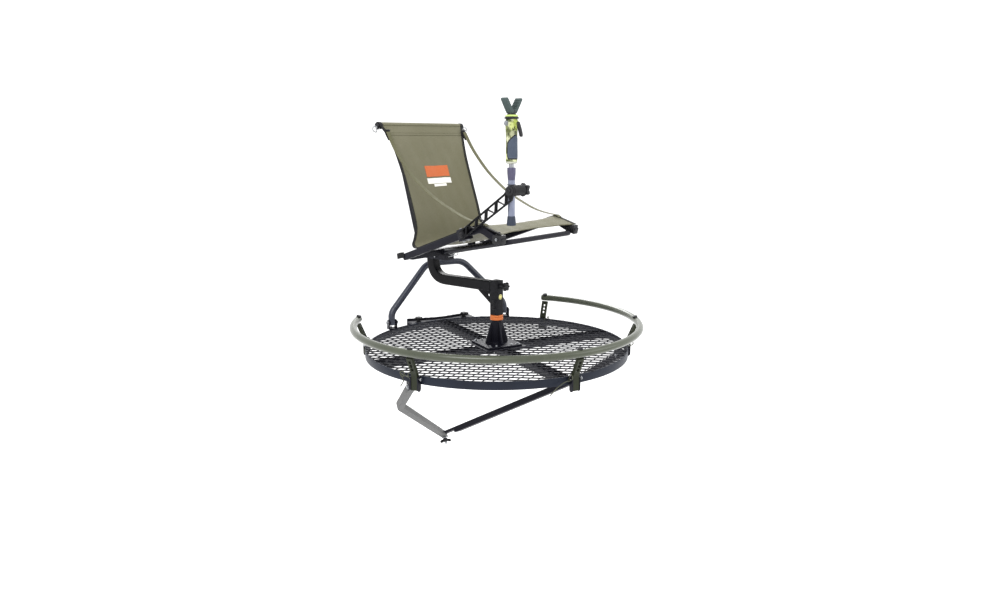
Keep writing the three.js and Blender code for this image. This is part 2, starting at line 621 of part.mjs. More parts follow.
function makeStick() {
  const jawInner = rest.armY + rest.thickness / 2 + gap;
  const { near, far, radius } = stickClamp;
  const barrel = rod('y', radius, near, far, [stickClamp.x, 0, rest.hubZ], 16);
  const disc = rod('y', 16, jawInner, near + 1, [rest.hubX - 3, 0, rest.hubZ]);
  const bore = rod('z', pole.tube + 0.5, -40, 40, [pole.x, pole.y, rest.hubZ], 16);
  addPiece(seatFrame, 'stick_clamp', cut(join(barrel, disc), bore), blackPlastic);
  const knobPlace = group(seatFrame, [stickClamp.x, far + gap, rest.hubZ], [-90, 0, 0]);
  addPiece(knobPlace, 'stick_clamp_knob', starKnob(20, 0, 1, 6, 20), blackPlastic);

  const axis = group(seatFrame, [pole.x, pole.y, 0]);
  const tubeProfile = [
    [0, pole.bottom], [16, pole.bottom], [13.5, 528], [pole.tube, 531], [pole.tube, 656], [14.5, 674],
    [14.5, pole.collarTop], [pole.bore, pole.collarTop], [pole.bore, 540], [0, 540],
  ];
  addPiece(axis, 'stick_tube', turned(tubeProfile, 14), silverTube);
  addPiece(axis, 'stick_inner_tube', rod('z', pole.inner, 548, pole.handleFoot - gap), zincSteel);
  const handleProfile = [
    [0, pole.handleFoot], [17, pole.handleFoot], [20, 711], [19.5, 760], [19.5, 800], [21, 826], [21, 846],
    [24, 851], [24, pole.handleTop], [0, pole.handleTop],
  ];
  addPiece(axis, 'stick_handle', turned(handleProfile, 16), leafPlastic);
  const triggerPoints = [[29, 822], [35, 793], [42, 792], [44, 800], [33, 840], [24, 843], [22, 830]];
  addPiece(axis, 'stick_trigger', standingPlate(triggerPoints, 11), blackPlastic);
  const yokeHalf = [
    [20, pole.handleTop + gap], [20, 865], [15, 868], [15, 876], [43, 915], [34, 921], [0, 879],
  ];
  const yokePoints = [...yokeHalf, ...yokeHalf.slice(0, -1).reverse().map(([x, z]) => [-x, z])];
  addPiece(axis, 'stick_yoke', crossPlate(yokePoints, 26), greenRubber);
}

makeDeck();
makePostBase();
makeTreeSide();
makeArch();
makeFootRail();
makeBrace();
makeSwingArm();
makeSeat();
makeBack();
makeRestArm();
makeStick();

export default stand;
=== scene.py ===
import json
import math

import bmesh
import bpy
from mathutils import Matrix, Vector


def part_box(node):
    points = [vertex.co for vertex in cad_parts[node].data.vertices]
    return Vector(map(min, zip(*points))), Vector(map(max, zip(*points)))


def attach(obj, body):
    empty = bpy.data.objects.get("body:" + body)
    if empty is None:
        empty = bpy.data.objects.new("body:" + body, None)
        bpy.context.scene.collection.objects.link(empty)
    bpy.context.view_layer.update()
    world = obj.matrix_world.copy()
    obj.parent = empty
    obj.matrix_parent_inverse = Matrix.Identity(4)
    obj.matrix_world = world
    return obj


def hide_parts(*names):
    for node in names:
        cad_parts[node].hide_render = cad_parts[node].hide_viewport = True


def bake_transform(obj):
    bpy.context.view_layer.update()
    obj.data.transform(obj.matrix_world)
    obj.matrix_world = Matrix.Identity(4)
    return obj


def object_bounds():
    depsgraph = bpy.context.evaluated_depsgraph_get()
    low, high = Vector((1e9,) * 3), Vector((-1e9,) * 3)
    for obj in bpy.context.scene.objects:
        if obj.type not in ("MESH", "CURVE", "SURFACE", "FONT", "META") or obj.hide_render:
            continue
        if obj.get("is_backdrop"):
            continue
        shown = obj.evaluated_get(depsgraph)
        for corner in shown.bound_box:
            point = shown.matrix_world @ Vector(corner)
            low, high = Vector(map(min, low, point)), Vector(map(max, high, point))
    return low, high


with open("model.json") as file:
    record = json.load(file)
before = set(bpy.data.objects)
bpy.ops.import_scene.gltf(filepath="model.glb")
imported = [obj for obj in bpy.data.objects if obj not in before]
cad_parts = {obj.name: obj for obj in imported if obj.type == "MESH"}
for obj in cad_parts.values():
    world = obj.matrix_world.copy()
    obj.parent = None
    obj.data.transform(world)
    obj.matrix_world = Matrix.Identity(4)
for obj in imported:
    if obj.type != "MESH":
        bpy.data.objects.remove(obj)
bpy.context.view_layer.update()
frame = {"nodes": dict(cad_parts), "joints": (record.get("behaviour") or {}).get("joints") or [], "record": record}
scene = bpy.context.scene
mm = 0.001


# camera, light and floor

studio = {
    "cameraPlace": (-1.46207, -2.74976, 0.79130),
    "cameraLook": (0.46419, 0.86417, -0.19428),
    "lens": 29.56,  # on a 36 mm sensor
    "world": 1.06,
    "look": "Medium High Contrast",
    "floorDrop": 0.62,  # below the lowest bolt
    "lights": [
        # name, place, size, watts
        ("softKey", (-2.6, -2.2, 3.2), 2.2, 70),
        ("softFill", (2.8, -2.4, 1.6), 2.6, 22),
        ("softRim", (1.4, 3.0, 2.6), 1.8, 60),
    ],
}


def makeCamera(options):
    data = bpy.data.cameras.new("viewCamera")
    data.lens = options["lens"]
    data.sensor_width = 36
    camera = bpy.data.objects.new("viewCamera", data)
    scene.collection.objects.link(camera)
    camera.location = options["cameraPlace"]
    camera.rotation_euler = Vector(options["cameraLook"]).to_track_quat("-Z", "Y").to_euler()
    scene.camera = camera


makeCamera(studio)
print("camera made")


# shader helpers


def lin(red, green, blue):
    # everyday 0-255 colour to the shader's linear one
    parts = []
    for value in (red, green, blue):
        share = value / 255
        parts.append(share / 12.92 if share <= 0.04045 else ((share + 0.055) / 1.055) ** 2.4)
    return (*parts, 1.0)


class Signal:
    # one socket, so that maths on it reads as maths
    def __init__(self, finish, socket):
        self.finish = finish
        self.socket = socket

    def maths(self, operation, other, swapped=False):
        first, second = (other, self) if swapped else (self, other)
        return self.finish.node("Math", {"operation": operation}, {0: first, 1: second})

    def __add__(self, other):
        return self.maths("ADD", other)

    def __radd__(self, other):
        return self.maths("ADD", other, True)

    def __sub__(self, other):
        return self.maths("SUBTRACT", other)

    def __rsub__(self, other):
        return self.maths("SUBTRACT", other, True)

    def __mul__(self, other):
        return self.maths("MULTIPLY", other)

    def __rmul__(self, other):
        return self.maths("MULTIPLY", other, True)

    def __pow__(self, other):
        return self.maths("POWER", other)

    def sine(self):
        return self.finish.node("Math", {"operation": "SINE"}, {0: self})

    def size(self):
        return self.finish.node("Math", {"operation": "ABSOLUTE"}, {0: self})

    def clip(self):
        return self.finish.node("Clamp", {}, {0: self, 1: 0.0, 2: 1.0})


class Finish:
    def __init__(self, name):
        self.material = bpy.data.materials.new(name)
        self.material.use_nodes = True
        self.tree = self.material.node_tree
        self.shader = self.tree.nodes["Principled BSDF"]

    def node(self, kind, settings, sockets, out=0):
        made = self.tree.nodes.new("ShaderNode" + kind)
        for key, value in settings.items():
            if key == "stops":
                ramp = made.color_ramp
                while len(ramp.elements) < len(value):
                    ramp.elements.new(0.5)
                for element, (place, color) in zip(ramp.elements, value):
                    element.position = place
                    element.color = color
            else:
                setattr(made, key, value)
        for key, value in sockets.items():
            if isinstance(value, Signal):
                self.tree.links.new(value.socket, made.inputs[key])
            else:
                made.inputs[key].default_value = value
        return Signal(self, made.outputs[out])

    def feed(self, **inputs):
        for key, value in inputs.items():
            socket = self.shader.inputs[key.replace("_", " ")]
            if isinstance(value, Signal):
                self.tree.links.new(value.socket, socket)
            else:
                socket.default_value = value
        return self.material

    def place(self):
        return self.node("TexCoord", {}, {}, 3)

    def uv(self):
        return self.node("TexCoord", {}, {}, 2)

    def axis(self, vector, index):
        return self.node("SeparateXYZ", {}, {0: vector}, index)

    def noise(self, scale, detail=3.0, rough=0.55, vector=None, stretch=None):
        vector = vector or self.place()
        if stretch:
            vector = self.node("VectorMath", {"operation": "MULTIPLY"}, {0: vector, 1: stretch})
        sockets = {"Vector": vector, "Scale": scale, "Detail": detail, "Roughness": rough}
        return self.node("TexNoise", {}, sockets)

    def blendColors(self, share, first, second):
        return self.node("Mix", {"data_type": "RGBA"}, {0: share, 6: first, 7: second}, 2)

    def bump(self, height, strength, distance):
        return self.node("Bump", {}, {"Strength": strength, "Distance": distance, "Height": height})

    def edges(self, start, gain):
        # pointiness mask of sharp convex edges, used for edge abrasion and for a painted edge highlight
        pointy = self.node("NewGeometry", {}, {}, 7)
        return ((pointy - start) * gain).clip()


def paintFinish(name, options):
    # baked-on paint over steel: fine orange peel, a few scuffs, and paler edges that are partly abraded paint and
    # partly a painted edge highlight
    finish = Finish(name)
    base = finish.noise(options["cloud"], 4.0)
    fine = finish.noise(900.0, 2.0)
    scuffs = ((finish.noise(46.0, 6.0, 0.7) - 0.63) * 9).clip() * finish.noise(420.0, 2.0)
    # paler edges from pointiness: abraded paint together with a painted highlight along every sharp edge
    wornAndHighlit = finish.edges(0.515, options["edgeGain"]) * (finish.noise(70.0, 4.0, 0.7) * 1.5 - 0.25).clip()
    coated = finish.blendColors(base, options["dark"], options["light"])
    scuffed = finish.blendColors(scuffs * options["scuff"], coated, options["scuffColor"])
    rubbedAndHighlit = finish.blendColors(wornAndHighlit * options["wearAndHighlight"], scuffed, options["bareAndHighlight"])
    rough = options["rough"] + base * 0.12 + scuffs * 0.2 + fine * 0.04
    return finish.feed(
        Base_Color=rubbedAndHighlit,
        Roughness=rough,
        Metallic=wornAndHighlit * options["wearAndHighlight"] * 0.6,
        Specular_IOR_Level=options["specular"],
        Coat_Weight=options["coat"],
        Coat_Roughness=0.2,
        Normal=finish.bump(fine * 0.4 + scuffs * 0.3 + base, options["bump"], 0.0006),
    )


def metalFinish(name, options):
    # plated or bare metal with drawn streaks and a little dulling
    finish = Finish(name)
    streaks = finish.noise(260.0, 3.0, 0.6, stretch=options["streak"])
    cloud = finish.noise(40.0, 4.0)
    color = finish.blendColors(cloud * 0.7 + streaks * 0.3, options["dark"], options["light"])
    return finish.feed(
        Base_Color=color,
        Roughness=options["rough"] + streaks * 0.14,
        Metallic=options["metal"],
        Normal=finish.bump(streaks, 0.12, 0.0003),
    )


def mouldedFinish(name, options):
    # moulded plastic or rubber: fine spark grain, flow marks and paler edges that are partly abrasion and partly a
    # painted edge highlight
    finish = Finish(name)
    grain = finish.noise(1500.0, 2.0, 0.5)
    flow = finish.noise(28.0, 3.0)
    # paler edges from pointiness: abrasion together with a painted highlight on every sharp edge
    wornAndHighlit = finish.edges(0.52, 7.0) * 0.5
    body = finish.blendColors(flow, options["dark"], options["light"])
    color = finish.blendColors(wornAndHighlit, body, options["edge"])
    return finish.feed(
        Base_Color=color,
        Roughness=options["rough"] + flow * 0.1 + grain * 0.06,
        Specular_IOR_Level=options["specular"],
        Normal=finish.bump(grain + flow * 0.4, options["bump"], 0.0004),
    )


def wovenFinish(name, options):
    # plain weave on the sheet's own metres: yarns over and under, slubs, dust and fading
    finish = Finish(name)
    sheetPlace = finish.uv()
    turns = 2 * math.pi / options["yarn"]
    across = (finish.axis(sheetPlace, 0) * turns).sine()
    along = (finish.axis(sheetPlace, 1) * turns).sine()
    over = across * along * 0.5 + 0.5
    ribs = across.size() * 0.5 + along.size() * 0.5
    slubs = finish.noise(900.0, 2.0, 0.6, sheetPlace, (1.0, 0.12, 1.0))
    threads = finish.noise(700.0, 2.0, 0.6, sheetPlace, (0.1, 1.0, 1.0))
    fading = finish.noise(6.5, 5.0, 0.6, sheetPlace)
    share = over * 0.3 + slubs * 0.3 + threads * 0.2 + ribs * 0.2
    cloth = finish.blendColors(share, options["dark"], options["light"])
    faded = finish.blendColors(((fading - 0.42) * 2.2).clip() * options["fade"], cloth, options["faded"])
    return finish.feed(
        Base_Color=faded,
        Roughness=options["rough"] + over * 0.06,
        Specular_IOR_Level=0.2,
        Sheen_Weight=options["sheen"],
        Sheen_Roughness=0.5,
        Normal=finish.bump(over * 0.7 + ribs * 0.5 + slubs * 0.4, options["bump"], 0.0005),
    )


def leafFinish(name, options):
    # printed leaf pattern in soft blots, from large leaves to small twigs
    finish = Finish(name)
    wobble = finish.node("TexNoise", {}, {"Scale": 60.0, "Detail": 2.0}, 1)
    moved = finish.node("Mix", {"data_type": "VECTOR"}, {0: 0.02, 4: finish.place(), 5: wobble}, 1)
    leaves = finish.node("TexVoronoi", {"feature": "F1"}, {"Vector": moved, "Scale": 62.0}, 1)
    tone = finish.node("ValToRGB", {"stops": options["leaves"]}, {0: finish.axis(leaves, 0)})
    twigs = ((finish.noise(150.0, 3.0, 0.7, stretch=(1.0, 1.0, 0.35)) - 0.56) * 14).clip()
    color = finish.blendColors(twigs, tone, options["twig"])
    grain = finish.noise(1400.0, 2.0)
    return finish.feed(
        Base_Color=color,
        Roughness=0.46 + grain * 0.08,
        Specular_IOR_Level=0.4,
        Normal=finish.bump(grain, 0.12, 0.0003),
    )


# the edge colour and its strength below are partly abraded paint and partly a painted edge highlight
paints = {
    "dark": lin(15, 15, 24), "light": lin(24, 24, 36), "cloud": 14.0, "scuff": 0.2,
    "scuffColor": lin(70, 72, 82),
    "wearAndHighlight": 0.3, "edgeGain": 6.0, "bareAndHighlight": lin(104, 106, 114), "rough": 0.34, "specular": 0.26, "coat": 0.0,
    "bump": 0.1,
}
darkPaint = paintFinish("darkPaint", paints)
armPaint = paintFinish(
    "armPaint", {**paints, "dark": lin(12, 12, 15), "light": lin(19, 19, 23), "rough": 0.4}
)
skirtPaint = paintFinish(
    "skirtPaint", {**paints, "dark": lin(27, 31, 41), "light": lin(40, 46, 59), "rough": 0.32}
)
meshPaint = paintFinish(
    "meshPaint", {**paints, "dark": lin(20, 20, 26), "light": lin(31, 31, 38), "rough": 0.42}
)
greyPaint = paintFinish("greyPaint", {
    **paints, "dark": lin(76, 77, 78), "light": lin(100, 100, 99), "bareAndHighlight": lin(156, 156, 154), "rough": 0.42,
})
railPaint = paintFinish("railPaint", {
    **paints, "dark": lin(58, 63, 49), "light": lin(76, 81, 65), "scuffColor": lin(124, 128, 106),
    "bareAndHighlight": lin(134, 136, 124), "rough": 0.2, "specular": 0.5, "coat": 0.4,
})
postPaint = paintFinish("postPaint", {
    **paints, "dark": lin(38, 42, 30), "light": lin(52, 56, 42), "bareAndHighlight": lin(100, 102, 90), "rough": 0.36,
})
archPaint = paintFinish("archPaint", {
    **paints, "dark": lin(38, 42, 54), "light": lin(54, 59, 74), "rough": 0.22, "specular": 0.45,
    "coat": 0.25,
})
zincSteel = metalFinish("zincSteel", {
    "dark": lin(128, 130, 134), "light": lin(186, 188, 190), "rough": 0.24, "metal": 0.9,
    "streak": (1.0, 1.0, 6.0),
})
poleTube = metalFinish("poleTube", {
    "dark": lin(104, 108, 126), "light": lin(158, 164, 182), "rough": 0.26, "metal": 0.6,
    "streak": (9.0, 9.0, 0.4),
})
poleCollar = metalFinish("poleCollar", {
    "dark": lin(74, 72, 92), "light": lin(106, 104, 126), "rough": 0.3, "metal": 0.5,
    "streak": (9.0, 9.0, 0.4),
})
# edge: the paler colour of sharp edges, partly abrasion and partly a painted highlight
plastics = {
    "dark": lin(18, 18, 21), "light": lin(28, 28, 32), "edge": lin(64, 64, 68), "rough": 0.38,
    "specular": 0.45, "bump": 0.18,
}
blackPlastic = mouldedFinish("blackPlastic", plastics)
greyPlastic = mouldedFinish(
    "greyPlastic",
    {**plastics, "dark": lin(88, 92, 98), "light": lin(128, 131, 136), "edge": lin(190, 192, 196)},
)
orangePlastic = mouldedFinish("orangePlastic", {
    **plastics, "dark": lin(192, 104, 52), "light": lin(212, 128, 72), "edge": lin(236, 168, 118),
    "rough": 0.34,
})
limePlastic = mouldedFinish("limePlastic", {
    **plastics, "dark": lin(160, 184, 94), "light": lin(192, 210, 126), "edge": lin(216, 228, 160),
    "rough": 0.34,
})
paleRubber = mouldedFinish("paleRubber", {
    **plastics, "dark": lin(150, 152, 140), "light": lin(188, 190, 176), "edge": lin(214, 214, 204),
    "rough": 0.5,
})
paleDisc = mouldedFinish(
    "paleDisc",
    {**plastics, "dark": lin(214, 208, 128), "light": lin(232, 226, 156), "edge": lin(240, 236, 190)},
)
yokeRubber = mouldedFinish("yokeRubber", {
    **plastics, "dark": lin(58, 68, 68), "light": lin(82, 94, 94), "edge": lin(108, 120, 116), "rough": 0.6,
    "specular": 0.3, "bump": 0.4,
})
footRubber = mouldedFinish("footRubber", {
    **plastics, "dark": lin(30, 36, 48), "light": lin(52, 60, 76), "edge": lin(86, 94, 110), "rough": 0.5,
    "bump": 0.4,
})
oliveSteel = metalFinish("oliveSteel", {
    "dark": lin(62, 64, 54), "light": lin(104, 106, 92), "rough": 0.3, "metal": 0.6,
    "streak": (1.0, 1.0, 6.0),
})
gripRubber = mouldedFinish("gripRubber", {
    **plastics, "dark": lin(58, 66, 80), "light": lin(78, 88, 104), "edge": lin(110, 120, 134),
    "rough": 0.55, "bump": 0.4,
})
slingWeave = wovenFinish("slingWeave", {
    "yarn": 0.0034, "dark": lin(88, 87, 66), "light": lin(125, 122, 101), "faded": lin(128, 125, 108),
    "fade": 0.45, "rough": 0.78, "sheen": 0.25, "bump": 0.5,
})
strapWeave = wovenFinish("strapWeave", {
    "yarn": 0.0026, "dark": lin(76, 76, 54), "light": lin(110, 108, 81), "faded": lin(112, 110, 87),
    "fade": 0.3, "rough": 0.72, "sheen": 0.2, "bump": 0.8,
})
blackWeave = wovenFinish("blackWeave", {
    "yarn": 0.0022, "dark": lin(16, 16, 18), "light": lin(40, 40, 42), "faded": lin(50, 50, 52),
    "fade": 0.3, "rough": 0.7, "sheen": 0.2, "bump": 0.8,
})
orangeWeave = wovenFinish("orangeWeave", {
    "yarn": 0.0018, "dark": lin(178, 92, 50), "light": lin(206, 120, 76), "faded": lin(204, 126, 88),
    "fade": 0.2, "rough": 0.7, "sheen": 0.2, "bump": 0.6,
})
whiteWeave = wovenFinish("whiteWeave", {
    "yarn": 0.0018, "dark": lin(214, 212, 204), "light": lin(244, 243, 238), "faded": lin(226, 224, 214),
    "fade": 0.2, "rough": 0.7, "sheen": 0.2, "bump": 0.6,
})
leafPrint = leafFinish("leafPrint", {
    "leaves": [
        (0.0, lin(58, 66, 36)), (0.25, lin(128, 140, 70)), (0.45, lin(168, 180, 96)),
        (0.65, lin(206, 208, 176)), (0.85, lin(92, 98, 58)),
    ],
    "twig": lin(42, 44, 30),
})
print("finishes made")


# shape helpers: a shape is a list of points in millimetres and a list of faces


def soften(points, radius, steps=3, closed=False, share=0.45):
    # rounds each corner of a line by up to the radius
    points = [Vector(point) for point in points]
    count = len(points)
    made = []
    for index, corner in enumerate(points):
        if not closed and index in (0, count - 1):
            made.append(corner)
            continue
        before = points[index - 1] - corner
        after = points[(index + 1) % count] - corner
        reach = min(radius, before.length * share, after.length * share)
        start = corner + before.normalized() * reach
        end = corner + after.normalized() * reach
        for step in range(steps + 1):
            t = step / steps
            made.append(start * (1 - t) ** 2 + corner * 2 * t * (1 - t) + end * t * t)
    return made


def flowing(points, steps=8):
    # a smooth line through all the points
    points = [Vector(point) for point in points]
    made = []
    for index in range(len(points) - 1):
        a = points[max(index - 1, 0)]
        b, c = points[index], points[index + 1]
        d = points[min(index + 2, len(points) - 1)]
        for step in range(steps):
            t = step / steps
            made.append(
                0.5 * (
                    2 * b + (c - a) * t
                    + (2 * a - 5 * b + 4 * c - d) * t * t
                    + (3 * b - a - 3 * c + d) * t ** 3
                )
            )
    made.append(points[-1])
    return made


def roundSection(radius, count=20):
    return [
        (radius * math.cos(i / count * math.tau), radius * math.sin(i / count * math.tau))
        for i in range(count)
    ]


def boxSection(width, depth, radius=3.0, steps=4):
    half, deep = width / 2, depth / 2
    return [
        tuple(p)
        for p in soften([(-half, -deep), (half, -deep), (half, deep), (-half, deep)], radius, steps, True)
    ]


def sweep(points, section, up=(0, 0, 1), closed=False):
    # the section's first axis lies level, its second towards up
    points = [Vector(point) for point in points]
    count, around = len(points), len(section)
    verts, faces = [], []
    level = None
    for index, point in enumerate(points):
        arrive = point - points[index - 1] if index or closed else None
        last = index == count - 1 and not closed
        leave = None if last else points[(index + 1) % count] - point
        arrive = (arrive or leave).normalized()
        leave = (leave or arrive).normalized()
        tangent = (arrive + leave).normalized()
        if level is None:
            level = tangent.cross(Vector(up))
            if level.length < 1e-4:
                level = tangent.cross(Vector((1, 0, 0)))
        level = (level - tangent * level.dot(tangent)).normalized()
        rise = level.cross(tangent)
        fold = leave - arrive
        stretch = 0.0
        if fold.length > 1e-5:
            fold.normalize()
            stretch = min(1 / max(tangent.dot(arrive), 0.3) - 1, 1.5)
        for x, y in section:
            offset = level * x + rise * y
            verts.append(point + offset + fold * offset.dot(fold) * stretch)
    for ring in range(count if closed else count - 1):
        here, there = ring * around, (ring + 1) % count * around
        for side in range(around):
            after = (side + 1) % around
            faces.append((here + side, here + after, there + after, there + side))
    if not closed:
        faces.append(tuple(range(around - 1, -1, -1)))
        faces.append(tuple(range((count - 1) * around, count * around)))
    return verts, faces


def turned(profile, count=40, lobes=0, depth=0.0):
    # a turned shape about Z; lobes scallop its rim by a share of the radius
    verts, rings, faces = [], [], []
    for radius, height in profile:
        if radius < 1e-6:
            verts.append(Vector((0, 0, height)))
            rings.append([len(verts) - 1])
            continue
        ring = []
        for side in range(count):
            angle = side / count * math.tau
            reach = radius * (1 - depth * (0.5 - 0.5 * math.cos(lobes * angle))) if lobes else radius
            verts.append(Vector((reach * math.cos(angle), reach * math.sin(angle), height)))
            ring.append(len(verts) - 1)
        rings.append(ring)
    for low, high in zip(rings, rings[1:]):
        for side in range(count):
            after = (side + 1) % count
            if len(low) == 1 and len(high) == 1:
                break
            if len(low) == 1:
                faces.append((low[0], high[after], high[side]))
            elif len(high) == 1:
                faces.append((low[side], low[after], high[0]))
            else:
                faces.append((low[side], low[after], high[after], high[side]))
    return verts, faces


def ringTurned(profile, count=64):
    # a ring with a closed profile
    verts, faces = [], []
    around = len(profile)
    for side in range(count):
        angle = side / count * math.tau
        verts += [
            Vector((radius * math.cos(angle), radius * math.sin(angle), height))
            for radius, height in profile
        ]
    for side in range(count):
        here, there = side * around, (side + 1) % count * around
        for index in range(around):
            after = (index + 1) % around
            faces.append((here + index, there + index, there + after, here + after))
    return verts, faces


def plate(outline, low, high, holes=(), bevel=0.6):
    # a flat plate with eased edges
    curve = bpy.data.curves.new("plateDraft", "CURVE")
    curve.dimensions = "2D"
    curve.fill_mode = "BOTH"
    for loop in [outline, *holes]:
        spline = curve.splines.new("POLY")
        spline.points.add(len(loop) - 1)
        for point, place in zip(spline.points, loop):
            point.co = (place[0], place[1], 0, 1)
        spline.use_cyclic_u = True
    curve.extrude = (high - low) / 2 - bevel
    curve.bevel_depth = bevel
    curve.bevel_resolution = 1
    curve.offset = -bevel
    draft = bpy.data.objects.new("plateDraft", curve)
    scene.collection.objects.link(draft)
    bpy.context.view_layer.update()
    mesh = bpy.data.meshes.new_from_object(draft.evaluated_get(bpy.context.evaluated_depsgraph_get()))
    lift = Vector((0, 0, (low + high) / 2))
    verts = [vertex.co + lift for vertex in mesh.vertices]
    faces = [tuple(polygon.vertices) for polygon in mesh.polygons]
    bpy.data.objects.remove(draft)
    bpy.data.curves.remove(curve)
    bpy.data.meshes.remove(mesh)
    return verts, faces


def circle(radius, centre=(0, 0), count=24):
    return [(centre[0] + x, centre[1] + y) for x, y in roundSection(radius, count)]


def bar(low, high, radius=1.5):
    # a block with eased edges
    outline = [(low[0], low[1]), (high[0], low[1]), (high[0], high[1]), (low[0], high[1])]
    return plate(
        soften(outline, radius, 3, True), low[2], high[2],
        bevel=min(radius * 0.6, (high[2] - low[2]) * 0.3),
    )


def moved(shape, matrix):
    verts, faces = shape
    return [matrix @ Vector(vertex) for vertex in verts], faces


def merged(*shapes):
    verts, faces = [], []
    for more, polygons in shapes:
        start = len(verts)
        verts += more
        faces += [tuple(index + start for index in polygon) for polygon in polygons]
    return verts, faces


def aim(place, direction, spin=0.0):
    turn = Vector(direction).to_track_quat("Z", "Y").to_matrix().to_4x4()
    return Matrix.Translation(Vector(place)) @ turn @ Matrix.Rotation(math.radians(spin), 4, "Z")


def standing(y=0.0):
    # stands a flat plate on edge: its drawing's Y goes up, its thickness goes along Y
    return Matrix.Translation((0, y, 0)) @ Matrix.Rotation(math.radians(90), 4, "X")


def hexBolt(radius=5.0, height=4.0, washer=True):
    shapes = []
    foot = 0.0
    if washer:
        foot = 1.3
        disc = soften([(radius * 1.5, 0.0), (radius * 1.5, foot)], 0.4)
        shapes.append(turned([(0, 0), *[tuple(p) for p in disc], (0, foot)], 24))
    top = foot + height
    head = [
        (0, foot), (radius, foot), (radius, top - 0.7), (radius * 0.88, top), (radius * 0.5, top),
        (radius * 0.46, top - 0.4), (0, top - 0.4),
    ]
    shapes.append(turned(head, 6))
    return merged(*shapes)


def capScrew(radius=4.0, height=2.5):
    dome = [
        (0, 0), (radius, 0), (radius, height * 0.35), (radius * 0.8, height * 0.8), (radius * 0.45, height),
        (radius * 0.4, height * 0.5), (0, height * 0.5),
    ]
    return turned(dome, 20)


def starKnob(radius, foot, top, hubFoot=0.0, lobes=6):
    # hand knob with scalloped grip, hub below and a sunk cap
    grip = [
        (0, foot), (radius * 0.8, foot), (radius * 0.97, foot + 1.8), (radius, foot + 4), (radius, top - 4),
        (radius * 0.96, top - 1.6), (radius * 0.82, top), (radius * 0.46, top), (radius * 0.42, top - 1.4),
        (0, top - 1.4),
    ]
    hub = [(0, hubFoot), (radius * 0.52, hubFoot), (radius * 0.52, foot + 1), (0, foot + 1)]
    cap = [(0, top - 1.4), (radius * 0.34, top - 1.4), (radius * 0.3, top - 0.4), (0, top - 0.2)]
    return merged(turned(grip, 84, lobes, 0.3), turned(hub, 28), turned(cap, 28))


def weldBead(points, radius=2.6):
    # a stacked-coin bead laid along a line
    points = [Vector(point) for point in points]
    fine = []
    for a, b in zip(points, points[1:]):
        steps = max(2, int((b - a).length / 1.2))
        fine += [a.lerp(b, step / steps) for step in range(steps)]
    fine.append(points[-1])
    verts, faces = sweep(fine, roundSection(radius, 8))
    around = 8
    for index, point in enumerate(fine):
        swell = 0.86 + 0.16 * abs(math.sin(index * 0.62))
        for side in range(around):
            vertex = index * around + side
            verts[vertex] = point + (verts[vertex] - point) * swell
    return verts, faces


def bored(shape, cutter):
    # a shape with another taken out of it
    made = []
    for verts, faces in (shape, cutter):
        mesh = bpy.data.meshes.new("draft")
        mesh.from_pydata([Vector(vertex) for vertex in verts], [], faces)
        draft = bmesh.new()
        draft.from_mesh(mesh)
        bmesh.ops.remove_doubles(draft, verts=draft.verts, dist=1e-4)
        bmesh.ops.recalc_face_normals(draft, faces=draft.faces)
        draft.to_mesh(mesh)
        draft.free()
        drafted = bpy.data.objects.new("draft", mesh)
        scene.collection.objects.link(drafted)
        made.append(drafted)
    cutting = made[0].modifiers.new("bore", "BOOLEAN")
    cutting.object = made[1]
    cutting.solver = "EXACT"
    result = made[0].evaluated_get(bpy.context.evaluated_depsgraph_get()).to_mesh()
    verts = [Vector(vertex.co) for vertex in result.vertices]
    faces = [tuple(face.vertices) for face in result.polygons]
    for drafted in made:
        bpy.data.objects.remove(drafted)
    return verts, faces


def makePiece(name, shape, material, body, space, replaces=(), angle=35, uv=None, blend=None):
    verts, faces = shape
    mesh = bpy.data.meshes.new(name)
    mesh.from_pydata([space @ Vector(vertex) for vertex in verts], [], faces)
    draft = bmesh.new()
    draft.from_mesh(mesh)
    if uv is None:
        bmesh.ops.remove_doubles(draft, verts=draft.verts, dist=2e-6)
    bmesh.ops.recalc_face_normals(draft, faces=draft.faces)
    if uv is not None:
        layer = draft.loops.layers.uv.new("sheetPlace")
        for face in draft.faces:
            for loop in face.loops:
                loop[layer].uv = uv[loop.vert.index]
    draft.to_mesh(mesh)
    draft.free()
    mesh.shade_smooth()
    mesh.set_sharp_from_angle(angle=math.radians(angle))
    mesh.materials.append(material)
    piece = bpy.data.objects.new(name, mesh)
    scene.collection.objects.link(piece)
    if blend:
        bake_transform(piece)
    else:
        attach(piece, body)
    if replaces:
        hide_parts(*replaces)
    return piece


joints = {joint["name"]: joint for joint in frame["joints"]}
deckSpace = Matrix.Scale(mm, 4)
sideAxis = Vector(joints["back_fold"]["axis"])
seatYaw = math.degrees(math.atan2(sideAxis.y, sideAxis.x))
seatSpace = Matrix.Rotation(math.radians(seatYaw - 90), 4, "Z") @ deckSpace
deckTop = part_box("deck_rim")[1].z / mm
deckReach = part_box("deck_rim")[1].x / mm


# deck

deck = {
    "wall": 4.6, "height": 30, "strandPitch": 18.0, "diamond": 57.0, "bond": 4.2, "strandWidth": 6.8,
    "strandDepth": 2.8, "tilt": 38, "hubHalf": 85,
}


